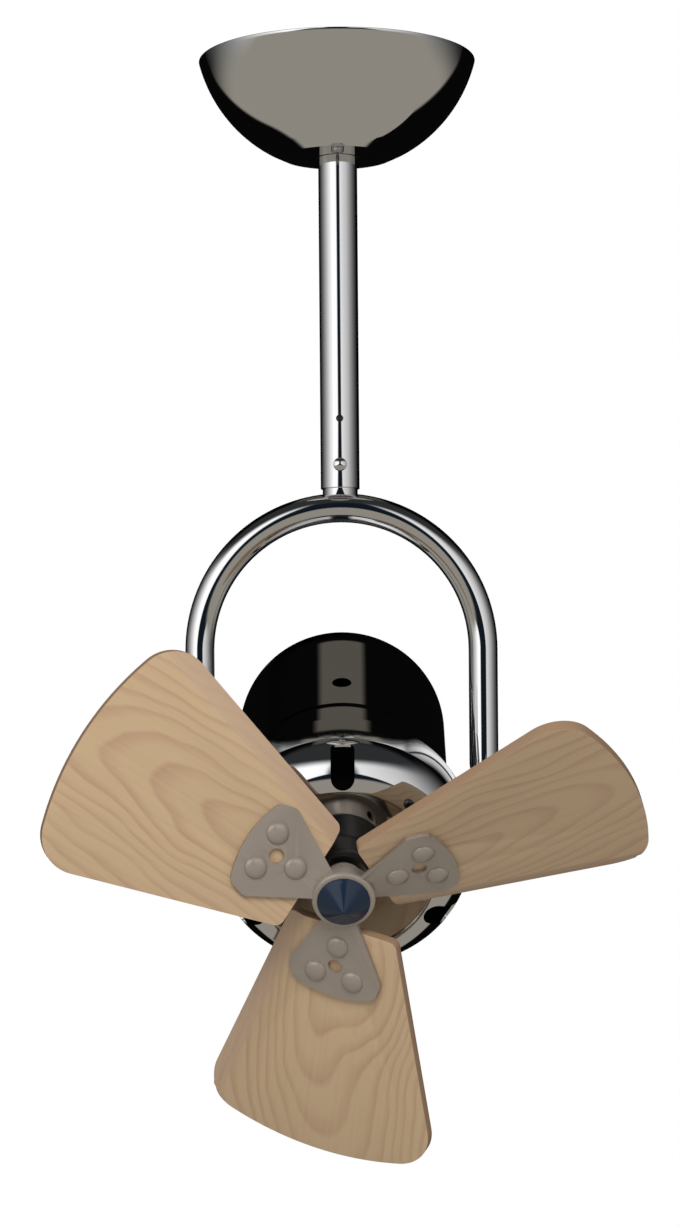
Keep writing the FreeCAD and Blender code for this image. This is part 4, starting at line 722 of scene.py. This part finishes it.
class FAN_OT_rod(Operator):
    """Rod with its domed swivel pin and lock screw"""
    bl_idname = "fan.rod"
    bl_label = "Rod"

    def execute(self, context):
        s = context.scene.fan.rod
        dress_copy("downrod", "ceiling_mount", "chrome")
        front = Matrix.Translation((0, -s.radius, s.pin_height))
        facing = YOKE @ front @ Matrix.Rotation(math.pi / 2, 4, "X")
        half, dome_height, shank = s.pin / 2, 2 * s.pin_rise, -4 * s.pin_rise
        dome_radius = (half ** 2 + dome_height ** 2) / (2 * dome_height)
        outline = [(0, shank), (half, shank)] + arc((half, -s.pin_rise), (0, s.pin_rise), dome_radius, 16)
        pin = new_object("swivel_pin_dressed", lathe("swivel_pin_dressed", outline, facing, 64))
        seat(pin, "ceiling_mount", "chrome", "swivel_pin")
        dress_copy("swivel_lock_screw", "ceiling_mount", "dark_steel")
        return {"FINISHED"}


class FAN_OT_yoke(Operator):
    """Bent tube yoke with pressed eyes, and its stem"""
    bl_idname = "fan.yoke"
    bl_label = "Yoke"

    def section(self, half_x, half_y, corner, points=40):
        """Rounded rectangle round the tube's axis, a circle where the corner takes up both half widths."""
        outline = []
        for step in range(points):
            angle = 2 * math.pi * (step + 0.5) / points
            c, s = math.cos(angle), math.sin(angle)
            outline.append((math.copysign(half_x - corner, c) + corner * c,
                            math.copysign(half_y - corner, s) + corner * s))
        return outline

    def leg_sections(self, s):
        """Height, centre, half widths and corner of a leg's sections, from the eye up to the round tube."""
        steps, thinnest = 14, 0.2 * MM
        tube, flat_x, flat_y = s.tube / 2, s.eye_thickness / 2, s.eye_width / 2
        sections = []
        for step in range(steps + 1):
            angle = math.pi / 2 * step / steps
            half_y = max(flat_y * math.sin(angle), thinnest)
            corner = min(s.eye_round, half_y, flat_x)
            sections.append((-flat_y * math.cos(angle), s.eye_centre, flat_x, half_y, corner))
        sections.append((s.flat_end, s.eye_centre, flat_x, flat_y, s.eye_round))
        for step in range(1, steps + 1):
            part = step / steps
            ease = part * part * (3 - 2 * part)
            height = s.flat_end + (s.round_end - s.flat_end) * part
            centre = s.eye_centre + (s.radius - s.eye_centre) * ease
            half_x = flat_x + (tube - flat_x) * ease
            half_y = flat_y + (tube - flat_y) * ease
            corner = min(s.eye_round + (tube - s.eye_round) * ease, half_x, half_y)
            sections.append((height, centre, half_x, half_y, corner))
        return sections

    def execute(self, context):
        s = context.scene.fan.yoke
        tube, bend_steps, collar_round = s.tube / 2, 72, 0.5 * MM
        leg = self.leg_sections(s)
        rings = []
        for z, centre, half_x, half_y, corner in leg:
            rings.append([(centre + x, y, z) for x, y in self.section(half_x, half_y, corner)])
        for step in range(bend_steps + 1):
            angle = math.pi * step / bend_steps
            rings.append([((s.radius + x) * math.cos(angle), y, s.leg + (s.radius + x) * math.sin(angle))
                          for x, y in self.section(tube, tube, tube)])
        for z, centre, half_x, half_y, corner in reversed(leg):
            rings.append([(-centre - x, y, z) for x, y in self.section(half_x, half_y, corner)])
        rings = [[YOKE @ Vector(point) for point in ring] for ring in rings]
        tube_mesh = grid_mesh("yoke_tube_dressed", rings, False, True)
        seat(new_object("yoke_tube_dressed", tube_mesh), "yoke", "chrome", "yoke_tube")
        seated = s.leg + s.radius + tube - s.collar_sunk
        outline = rounded([(s.bore, seated), (s.collar, seated, collar_round), (s.collar, s.collar_top),
                           (s.spigot, s.collar_top), (s.spigot, s.spigot_top), (s.bore, s.spigot_top)], 6)
        stem = new_object("yoke_stem_dressed", lathe("yoke_stem_dressed", outline, YOKE))
        seat(stem, "yoke", "chrome", "yoke_stem")
        return {"FINISHED"}


class FAN_OT_pivots(Operator):
    """Bosses, washers and bolts of the tilt pivot"""
    bl_idname = "fan.pivots"
    bl_label = "Tilt pivots"

    def execute(self, context):
        for side in ("left", "right"):
            for kind in ("pivot_boss", "pivot_washer", "pivot_bolt"):
                dress_copy("%s_%s" % (kind, side), "motor_head", "chrome")
            dress_copy("friction_washer_" + side, "motor_head", "grey_polymer")
        return {"FINISHED"}


class FAN_OT_motor_head(Operator):
    """Motor shell, domed rear cover and the bearing nose"""
    bl_idname = "fan.motor_head"
    bl_label = "Motor head"

    def execute(self, context):
        s = context.scene.fan.head
        inner = s.rear_radius - s.rear_wall
        drop = s.shell_radius - s.rear_radius
        shoulder_round = (s.shell_shoulder ** 2 + drop ** 2) / drop / 2
        ahead = s.cover_back + s.shell_flange
        flange_play = 0.2
        flange = s.cover_radius - s.cover_wall * (1 + flange_play)
        outline = [(inner, -s.seam)]
        shoulder_end = (s.shell_radius, s.shell_shoulder - s.seam)
        outline += arc((s.rear_radius, -s.seam), shoulder_end, shoulder_round, 16)
        outline += [(s.shell_radius, s.cover_back), (flange, s.cover_back), (flange, ahead), (inner, ahead)]
        shell = new_object("motor_shell_dressed", lathe("motor_shell_dressed", outline, HEAD, 256))
        seat(shell, "motor_head", "chrome", "motor_shell")
        tail = -s.seam - s.rear_length
        outline = rounded([(0, tail), (s.rear_radius, tail, s.rear_dome), (s.rear_radius, -s.seam),
                           (inner, -s.seam), (inner, tail + s.rear_wall, s.rear_dome - s.rear_wall),
                           (0, tail + s.rear_wall)], 40)
        dome = new_object("rear_cover_dressed", lathe("rear_cover_dressed", outline, HEAD, 256))
        hole = s.rear_hole / 2
        turns = [math.radians(degrees) for degrees in range(0, 360, 6)]
        ring = [(hole * math.cos(turn), hole * math.sin(turn)) for turn in turns]
        behind = Matrix.Translation((0, 0, -s.seam - s.rear_hole_behind))
        hole_at = HEAD @ behind @ Matrix.Rotation(-math.pi / 2, 4, "X")
        drill = prism("rear_hole_cutter", ring, s.rear_radius / 2, s.rear_radius * CUT_OVERRUN, hole_at)
        carve(dome, [new_object("rear_hole_cutter", drill)])
        seat(dome, "motor_head", "chrome", "rear_cover")
        dress_copy("rear_cover_screws", "motor_head", "zinc_steel")
        # The bearing nose is dark grey as painted shade for the hollow round the shaft.
        dress_copy("front_shield", "motor_head", "dark_casting")
        return {"FINISHED"}


class FAN_OT_front_cover(Operator):
    """Pressed front cover with its vent slots and screws"""
    bl_idname = "fan.front_cover"
    bl_label = "Front cover"

    def execute(self, context):
        s = context.scene.fan.head
        wall, edge, bead = s.cover_wall, s.cover_edge, s.step_round
        outer, back = s.cover_radius, s.cover_back
        shoulder, centre = s.cover_front - edge, s.cover_radius - edge
        rim = s.step_radius + bead
        crown = shoulder + math.sqrt(edge ** 2 - (rim - centre) ** 2)
        low, inside = crown - s.step, s.step_radius + wall
        under = shoulder + math.sqrt((edge - wall) ** 2 - (inside - centre) ** 2)
        outline = [(outer - wall, back), (outer, back)]
        outline += arc((outer, shoulder), (rim, crown), edge, 48)
        outline += arc((rim, crown), (s.step_radius, crown - bead), bead, 8)[1:]
        outline += [(s.step_radius, low), (s.dish_hole, s.dish),
                    (s.dish_hole, s.dish - wall), (inside, low - wall)]
        outline += reversed(arc((outer - wall, shoulder), (inside, under), edge - wall, 48))
        cover = new_object("front_cover_dressed", lathe("front_cover_dressed", outline, HEAD, 256))
        carve(cover, self.slot_cutters(s))
        seat(cover, "motor_head", "chrome", "front_cover")
        screws = run_tree("cover_screws_dressed", screw_tree(), {
            "Count": 3, "Circle": s.screw_radius, "Start angle": s.screw_angle,
            "Head radius": s.screw_head / 2, "Head height": s.screw_height,
            "Origin": HEAD @ Vector((0, 0, s.screw_seat)), "Turn": HEAD.to_euler(),
            "Finish": finish_of("dark_steel")})
        seat(screws, "motor_head", "dark_steel", "front_cover_screws")
        return {"FINISHED"}

    def slot_cutters(self, s):
        """Two blocks for each slot: an upright one through the face and a level one through the edge."""
        half, far = s.slot_width / 2, s.cover_radius * CUT_OVERRUN
        near = s.slot_inner + half
        top = s.slot_floor + s.slot_corner * 2
        face = [(far, -half), (far, half)] + arc((near, half), (near, -half), half, 24)
        notch = rounded([(-half, s.slot_floor, s.slot_corner), (half, s.slot_floor, s.slot_corner),
                         (half, top), (-half, top)], 10)
        outward = Matrix(((0, 0, 1, 0), (1, 0, 0, 0), (0, 1, 0, 0), (0, 0, 0, 1)))
        cutters = []
        for index in range(s.slot_count):
            where = HEAD @ Matrix.Rotation(math.pi / 2 + 2 * math.pi * index / s.slot_count, 4, "Z")
            through_face = (face, top - s.slot_corner / 2, s.cover_front * CUT_OVERRUN, where)
            through_edge = (notch, near, far, where @ outward)
            for outline, low, high, at in (through_face, through_edge):
                cutters.append(new_object("slot_cutter", prism("slot_cutter", outline, low, high, at)))
        return cutters


def arm_place(s, index):
    """Place of an arm and its blade: x along the blade, z ahead of the arm's front."""
    turn = s.blade_turn + 2 * math.pi * index / s.blade_count
    return (HEAD @ Matrix.Rotation(turn, 4, "Z") @ Matrix.Translation((0, 0, s.arm_plane))
            @ Matrix.Rotation(s.blade_pitch, 4, "X"))


class FAN_OT_hub(Operator):
    """Hub with its arms, rivets, set screw and nose cone"""
    bl_idname = "fan.hub"
    bl_label = "Hub"

    def execute(self, context):
        s = context.scene.fan.rotor
        mesh = solid_copy("blade_spider")
        flatten(mesh)
        spider = new_object("blade_spider_dressed", mesh)
        carve(spider, self.corner_cutters(s))
        soften(spider, s.arm_edge)
        seat(spider, "rotor", "taupe_metal", "blade_spider")
        rivets = run_tree("blade_rivets_dressed", rivet_tree(), {
            "Blades": s.blade_count, "Blade turn": s.blade_turn, "Pitch": s.blade_pitch,
            "Arm plane": s.arm_plane, "Centre": s.rivet_centre, "Circle": s.rivet_circle,
            "Head radius": s.rivet_head / 2, "Head height": s.rivet_height,
            "Tail radius": s.rivet_tail / 2, "Depth": s.rivet_depth,
            "Origin": PIVOT, "Turn": HEAD.to_euler(), "Finish": finish_of("taupe_metal")})
        seat(rivets, "rotor", "taupe_metal", *["blade_rivets_%d" % (i + 1) for i in range(s.blade_count)])
        dress_copy("nose_cone", "rotor", "blue_grey_enamel", 50)
        dress_copy("rotor_shaft", "rotor", "dark_steel")
        dress_copy("hub_screw", "rotor", "dark_steel")
        return {"FINISHED"}

    def corner_cutters(self, s):
        """Blocks that leave the outer corners of the arms round."""
        half_tip = s.arm_tip_width / 2
        side = [(s.arm_root, s.arm_root_width / 2), (s.arm_corner, s.arm_corner_width / 2),
                (math.sqrt(s.arm_tip ** 2 - half_tip ** 2), half_tip),
                (math.sqrt(s.arm_tip ** 2 - half_tip ** 2 / 4), half_tip / 2)]
        outlines = []
        for before, corner, after in zip(side, side[1:], side[2:]):
            beyond = (corner[0] + s.arm_round, corner[1] + s.arm_round)
            upper = rounded([before, corner + (s.arm_round,), after])[1:-1] + [beyond]
            outlines += [upper, [(x, -y) for x, y in reversed(upper)]]
        cutters = []
        for index in range(s.blade_count):
            where = arm_place(s, index)
            for outline in outlines:
                block = prism("corner_cutter", outline, -2 * s.arm_thickness, s.arm_thickness, where)
                cutters.append(new_object("corner_cutter", block))
        return cutters


class FAN_OT_blades(Operator):
    """Wooden blades with the grain along them"""
    bl_idname = "fan.blades"
    bl_label = "Blades"

    def execute(self, context):
        s = context.scene.fan.rotor
        for index in range(s.blade_count):
            where = arm_place(s, index)
            name = "blade_%d" % (index + 1)
            mesh = solid_copy(name)
            flatten(mesh)
            self.bevel_edge(mesh, where, s.bevel_width, s.bevel_drop)
            piece = new_object(name + "_dressed", mesh)
            soften(piece, s.blade_edge)
            self.lay_grain(piece.data, where.inverted(), index)
            seat(piece, "rotor", "maple", name)
        return {"FINISHED"}

    def bevel_edge(self, mesh, where, width, drop):
        """Cuts a strip along one long edge of a blade and lets its front fall towards the edge."""
        touch = 1e-6
        to_blade = where.inverted()
        work = bmesh.new()
        work.from_mesh(mesh)
        spots = [to_blade @ vertex.co for vertex in work.verts]
        front = max(spot.z for spot in spots)
        near_edge = [spot for spot in spots if spot.y < 0]
        root = min(near_edge, key=lambda spot: spot.x + spot.y)
        tip = min(near_edge, key=lambda spot: spot.y)
        along = Vector((tip.x - root.x, tip.y - root.y, 0)).normalized()
        inward = Vector((-along.y, along.x, 0))
        start = Vector((root.x, root.y, 0)) + inward * width
        turn = where.to_3x3()
        bmesh.ops.bisect_plane(work, geom=work.verts[:] + work.edges[:] + work.faces[:], dist=touch,
                               plane_co=where @ start, plane_no=turn @ inward)
        for vertex in work.verts:
            spot = to_blade @ vertex.co
            beyond = (start - spot).dot(inward)
            if beyond > touch and spot.z > front - MM:
                spot.z -= drop * min(beyond / width, 1)
                vertex.co = where @ spot
        work.to_mesh(mesh)
        work.free()

    def lay_grain(self, mesh, to_blade, index):
        """Map of the grain in metres, u along the blade and v across it, and marks for the veneer, among them the
        bevel and the edges, which the material darkens partly with painted shade.
        """
        sheet_apart, edge_limit, bevel_limit = 3.7, 0.5, 0.998
        layer = mesh.uv_layers.new(name="grain")
        for loop in mesh.loops:
            spot = to_blade @ mesh.vertices[loop.vertex_index].co
            layer.data[loop.index].uv = (spot.x, spot.y + spot.z)
        sheet = mesh.attributes.new("sheet", "FLOAT", "FACE")
        lipping_and_shade = mesh.attributes.new("lipping_and_shade", "FLOAT", "FACE")
        bevel = mesh.attributes.new("bevel", "FLOAT", "FACE")
        for polygon in mesh.polygons:
            facing = (to_blade.to_3x3() @ polygon.normal).z
            sheet.data[polygon.index].value = index * sheet_apart
            lipping_and_shade.data[polygon.index].value = 1.0 if abs(facing) < edge_limit else 0.0
            bevel.data[polygon.index].value = 1.0 if edge_limit < facing < bevel_limit else 0.0


class FAN_OT_inside(Operator):
    """Finishes of the solids that stay as they are"""
    bl_idname = "fan.inside"
    bl_label = "Inner pieces"

    def execute(self, context):
        for entry in frame["record"]["subparts"]:
            solid = frame["nodes"][entry["node"]]
            solid.data.materials.clear()
            solid.data.materials.append(finish_of(entry["material_slot"]))
        return {"FINISHED"}


# Walls of the reflection room: bearing in degrees, 0 being the camera's side, and lightness as the eye sees
# it. A white soft box stands on the left and a grey wall on the right, and both fall evenly to black behind.
WALL_LIGHT = ((-145, 0.05), (-42, 1), (-20, 1), (50, 0.72), (135, 0.05))
EYE_GAMMA = 2.2
NAVY_TONE = "#10171F"
GROUND_TONE = "#8A867E"
TOP_TONES = ("#2A2C2E", "#060606")
REAR_TONE = "#060606"
CARD_TONE = "#4F4B45"
GLOW = 1.43


class FAN_OT_stage(Operator):
    """Pale floor, soft studio light, reflection room and camera"""
    bl_idname = "fan.stage"
    bl_label = "Stage"

    def execute(self, context):
        scene = context.scene
        scene.view_settings.view_transform = "Standard"
        self.light_world(scene)
        floor_mesh = bpy.data.meshes.new("studio_floor")
        half, level = 6, -2.4
        floor_mesh.from_pydata([(-half, -half, level), (half, -half, level), (half, half, level),
                                (-half, half, level)], [], [(0, 1, 2, 3)])
        floor = new_object("studio_floor", floor_mesh)
        floor.data.materials.append(plain("pale floor", scene.fan.colours.floor, 0, 0.8))
        floor.visible_glossy = False
        self.add_room()
        self.add_flag()
        self.add_lamp("key lamp", (-0.1, -2.25, 1.0), 1.2, 42)
        self.add_camera(scene)
        return {"FINISHED"}

    def light_world(self, scene):
        """White behind the object and a plain level of light on it."""
        world = bpy.data.worlds.new("studio world")
        scene.world = world
        world.use_nodes = True
        tree = world.node_tree
        tree.nodes.clear()
        rays = add(tree, "ShaderNodeLightPath").outputs
        seen = add(tree, MATH, {0: rays["Is Camera Ray"], 1: rays["Is Glossy Ray"]}, operation="MAXIMUM")
        through = add(tree, MATH, {0: seen.outputs[0], 1: rays["Is Transmission Ray"]}, operation="MAXIMUM")
        lit = add(tree, "ShaderNodeBackground", {"Color": (1, 1, 1, 1), "Strength": 0.46})
        backdrop = add(tree, "ShaderNodeBackground", {"Color": (1, 1, 1, 1), "Strength": 1.0})
        mixed = add(tree, "ShaderNodeMixShader", {
            0: through.outputs[0], 1: lit.outputs[0], 2: backdrop.outputs[0]})
        add(tree, "ShaderNodeOutputWorld", {"Surface": mixed.outputs[0]})

    def add_room(self):
        """Room seen only in reflections: two soft boxes in front, grey below and black behind."""
        mesh = bpy.data.meshes.new("reflection_room")
        work = bmesh.new()
        bmesh.ops.create_uvsphere(work, u_segments=64, v_segments=32, radius=4.0)
        work.to_mesh(mesh)
        work.free()
        room = new_object("reflection_room", mesh)
        room.location = PIVOT
        material = bpy.data.materials.new("studio walls")
        material.use_nodes = True
        tree = material.node_tree
        tree.nodes.clear()
        spot = add(tree, "ShaderNodeTexCoord")
        way = add(tree, "ShaderNodeVectorMath", {0: spot.outputs["Object"]}, operation="NORMALIZE")
        sides = add(tree, "ShaderNodeSeparateXYZ", {0: way.outputs["Vector"]})
        x, y, z = (sides.outputs[axis] for axis in "XYZ")
        forward = add(tree, MATH, {0: y, 1: -1}, operation="MULTIPLY")
        bearing = add(tree, MATH, {0: x, 1: forward.outputs[0]}, operation="ARCTAN2").outputs[0]
        aside = add(tree, MATH, {0: x}, operation="ABSOLUTE").outputs[0]
        tone = self.wall_tone(tree, bearing)
        for share, over in (
                (self.navy_share(tree, bearing, z), opaque(linear(NAVY_TONE))),
                (self.ground_share(tree, y, z), opaque(linear(GROUND_TONE))),
                self.top_share_and_tone(tree, y, z),
                (self.rear_share(tree, x, y, z, aside), opaque(linear(REAR_TONE))),
                (self.card_share(tree, y, z, aside), opaque(linear(CARD_TONE)))):
            tone = add(tree, MIX, {"Factor": share, 6: tone, 7: over}, data_type="RGBA").outputs[2]
        glow = add(tree, "ShaderNodeEmission", {"Color": tone, "Strength": GLOW})
        add(tree, "ShaderNodeOutputMaterial", {"Surface": glow.outputs[0]})
        mesh.materials.append(material)
        self.show_in_mirrors_only(room)

    def wall_tone(self, tree, bearing):
        """White box and grey wall in front, which fall evenly to black behind."""
        part = add(tree, RANGE, {"Value": bearing, "From Min": -math.pi, "From Max": math.pi})
        walls = add(tree, "ShaderNodeValToRGB", {"Fac": part.outputs["Result"]})
        stops = walls.color_ramp.elements
        stops.remove(stops[1])
        for degrees, lightness in WALL_LIGHT:
            stops.new(0.5 + degrees / 360).color = opaque((lightness, lightness, lightness))
        seen = add(tree, "ShaderNodeGamma", {"Color": walls.outputs["Color"], "Gamma": EYE_GAMMA})
        return seen.outputs["Color"]

    def navy_share(self, tree, bearing, z):
        """Dark gap between the soft boxes, which widens towards the ground."""
        narrowest, level_width, spread, blur = 0.17, 0.592, 2.234, 0.05
        widened = add(tree, MATH, {0: z, 1: -spread, 2: level_width}, operation="MULTIPLY_ADD")
        width = add(tree, MATH, {0: widened.outputs[0], 1: narrowest}, operation="MAXIMUM")
        turned = add(tree, MATH, {0: bearing}, operation="ABSOLUTE")
        within = add(tree, MATH, {0: width.outputs[0], 1: turned.outputs[0]}, operation="SUBTRACT")
        share = add(tree, RANGE, interpolation_type="SMOOTHSTEP", inputs={
            "Value": within.outputs[0], "From Min": -blur, "From Max": blur})
        return share.outputs["Result"]

    def ground_share(self, tree, y, z):
        """Grey ground, whose edge is softer behind than in front."""
        front_depth, more_behind = 0.1, 0.32
        behind = add(tree, RANGE, interpolation_type="SMOOTHSTEP", inputs={
            "Value": y, "From Min": -0.6, "From Max": 0.1})
        depth = add(tree, MATH, operation="MULTIPLY_ADD", inputs={
            0: behind.outputs["Result"], 1: more_behind, 2: front_depth})
        height = add(tree, MATH, {0: z, 1: depth.outputs[0]}, operation="DIVIDE")
        share = add(tree, RANGE, interpolation_type="SMOOTHSTEP", inputs={
            "Value": height.outputs[0], "From Min": 0.25, "From Max": -0.7})
        return share.outputs["Result"]

    def top_share_and_tone(self, tree, y, z):
        """Dark ceiling, black towards the back."""
        backward = add(tree, RANGE, interpolation_type="SMOOTHSTEP", inputs={
            "Value": y, "From Min": 0.0, "From Max": 0.3})
        front, back = (opaque(linear(tone)) for tone in TOP_TONES)
        tone = add(tree, MIX, {"Factor": backward.outputs["Result"], 6: front, 7: back}, data_type="RGBA")
        share = add(tree, RANGE, interpolation_type="SMOOTHSTEP", inputs={
            "Value": z, "From Min": 0.5, "From Max": 0.75})
        return share.outputs["Result"], tone.outputs[2]

    def rear_share(self, tree, x, y, z, aside):
        """Black back wall, which leans with the height and the side and stands back in the middle."""
        by_height, by_side, set_back = -0.3, 0.1, -0.3
        below = add(tree, MATH, {0: z, 1: 0}, operation="MINIMUM")
        raised = add(tree, MATH, {0: below.outputs[0], 1: by_height, 2: y}, operation="MULTIPLY_ADD")
        leaned = add(tree, MATH, {0: x, 1: by_side, 2: raised.outputs[0]}, operation="MULTIPLY_ADD")
        middle = add(tree, RANGE, interpolation_type="SMOOTHSTEP", inputs={
            "Value": aside, "From Min": 0.6, "From Max": 0.05})
        rear = add(tree, MATH, operation="MULTIPLY_ADD", inputs={
            0: middle.outputs["Result"], 1: set_back, 2: leaned.outputs[0]})
        share = add(tree, RANGE, interpolation_type="SMOOTHSTEP", inputs={
            "Value": rear.outputs[0], "From Min": 0.63, "From Max": 0.69})
        return share.outputs["Result"]

    def card_share(self, tree, y, z, aside):
        """Grey card above the motor, narrower towards the back, that the dome mirrors."""
        taper = 0.25
        narrowed = add(tree, MATH, {0: y, 1: taper, 2: aside}, operation="MULTIPLY_ADD").outputs[0]
        card = 1.0
        for value, low, high in ((narrowed, 0.36, 0.29), (y, 0.1, 0.25), (y, 0.61, 0.55), (z, 0.12, 0.3)):
            edge = add(tree, RANGE, interpolation_type="SMOOTHSTEP", inputs={
                "Value": value, "From Min": low, "From Max": high})
            card = add(tree, MATH, {0: edge.outputs["Result"], 1: card}, operation="MULTIPLY").outputs[0]
        return card

    def show_in_mirrors_only(self, backdrop):
        """Marks a piece of the stage that only reflections show."""
        backdrop.visible_camera = False
        backdrop.visible_diffuse = False
        backdrop.visible_shadow = False
        backdrop.visible_transmission = False

    def add_flag(self):
        """Grey half ring before the rod, seen from above only, that keeps the fan's image out of the bowl."""
        inner, outer, level, steps = 0.0112, 0.11, -0.095, 32
        turns = [-math.pi * step / steps for step in range(steps + 1)]
        points = [CEILING @ Vector((r * math.cos(turn), r * math.sin(turn), level))
                  for turn in turns for r in (outer, inner)]
        mesh = bpy.data.meshes.new("reflection_flag")
        mesh.from_pydata(points, [], [(2 * i, 2 * i + 1, 2 * i + 3, 2 * i + 2) for i in range(steps)])
        flag = new_object("reflection_flag", mesh)
        material = bpy.data.materials.new("grey flag")
        material.use_nodes = True
        tree = material.node_tree
        tree.nodes.clear()
        facing = add(tree, "ShaderNodeNewGeometry")
        glow = add(tree, "ShaderNodeEmission", {"Color": opaque(linear(GROUND_TONE)), "Strength": GLOW})
        clear = add(tree, "ShaderNodeBsdfTransparent")
        sides = add(tree, "ShaderNodeMixShader", {
            0: facing.outputs["Backfacing"], 1: glow.outputs[0], 2: clear.outputs[0]})
        add(tree, "ShaderNodeOutputMaterial", {"Surface": sides.outputs[0]})
        mesh.materials.append(material)
        self.show_in_mirrors_only(flag)

    def add_lamp(self, name, place, width, power):
        """Soft square lamp that faces the motor, with its power in watts."""
        lamp = bpy.data.lights.new(name, "AREA")
        lamp.size = width
        lamp.energy = power
        holder = bpy.data.objects.new(name, lamp)
        bpy.context.scene.collection.objects.link(holder)
        holder.location = place
        holder.rotation_euler = (PIVOT - Vector(place)).to_track_quat("-Z", "Y").to_euler()
        holder.visible_glossy = False

    def add_camera(self, scene):
        """Camera level with the motor, far enough away for the photograph's perspective."""
        data = bpy.data.cameras.new("camera")
        data.lens = 96.5
        data.sensor_width = 36
        data.sensor_fit = "AUTO"
        data.shift_y = 0.2133
        camera = bpy.data.objects.new("camera", data)
        scene.collection.objects.link(camera)
        camera.location = (-0.0018, -1.8, -0.446)
        camera.rotation_euler = (math.pi / 2, 0.008, 0)
        scene.camera = camera


class FAN_PT_panel(Panel):
    """Buttons for the fan's pieces"""
    bl_idname = "FAN_PT_panel"
    bl_label = "Ceiling fan"
    bl_space_type = "VIEW_3D"
    bl_region_type = "UI"
    bl_category = "Fan"

    def draw(self, context):
        for operator in OPERATORS:
            self.layout.operator(operator.bl_idname)


GROUPS = (CanopySizes, RodSizes, YokeSizes, HeadSizes, RotorSizes, FanColours, FanSettings)
OPERATORS = (FAN_OT_inside, FAN_OT_canopy, FAN_OT_rod, FAN_OT_yoke, FAN_OT_pivots, FAN_OT_motor_head,
             FAN_OT_front_cover, FAN_OT_hub, FAN_OT_blades, FAN_OT_stage)


def register():
    for kind in GROUPS + OPERATORS + (FAN_PT_panel,):
        bpy.utils.register_class(kind)
    bpy.types.Scene.fan = PointerProperty(type=FanSettings)


def unregister():
    del bpy.types.Scene.fan
    for kind in reversed(GROUPS + OPERATORS + (FAN_PT_panel,)):
        bpy.utils.unregister_class(kind)


def main():
    register()
    for operator in OPERATORS:
        getattr(bpy.ops.fan, operator.bl_idname.split(".")[1])()


if __name__ == "__main__":
    main()
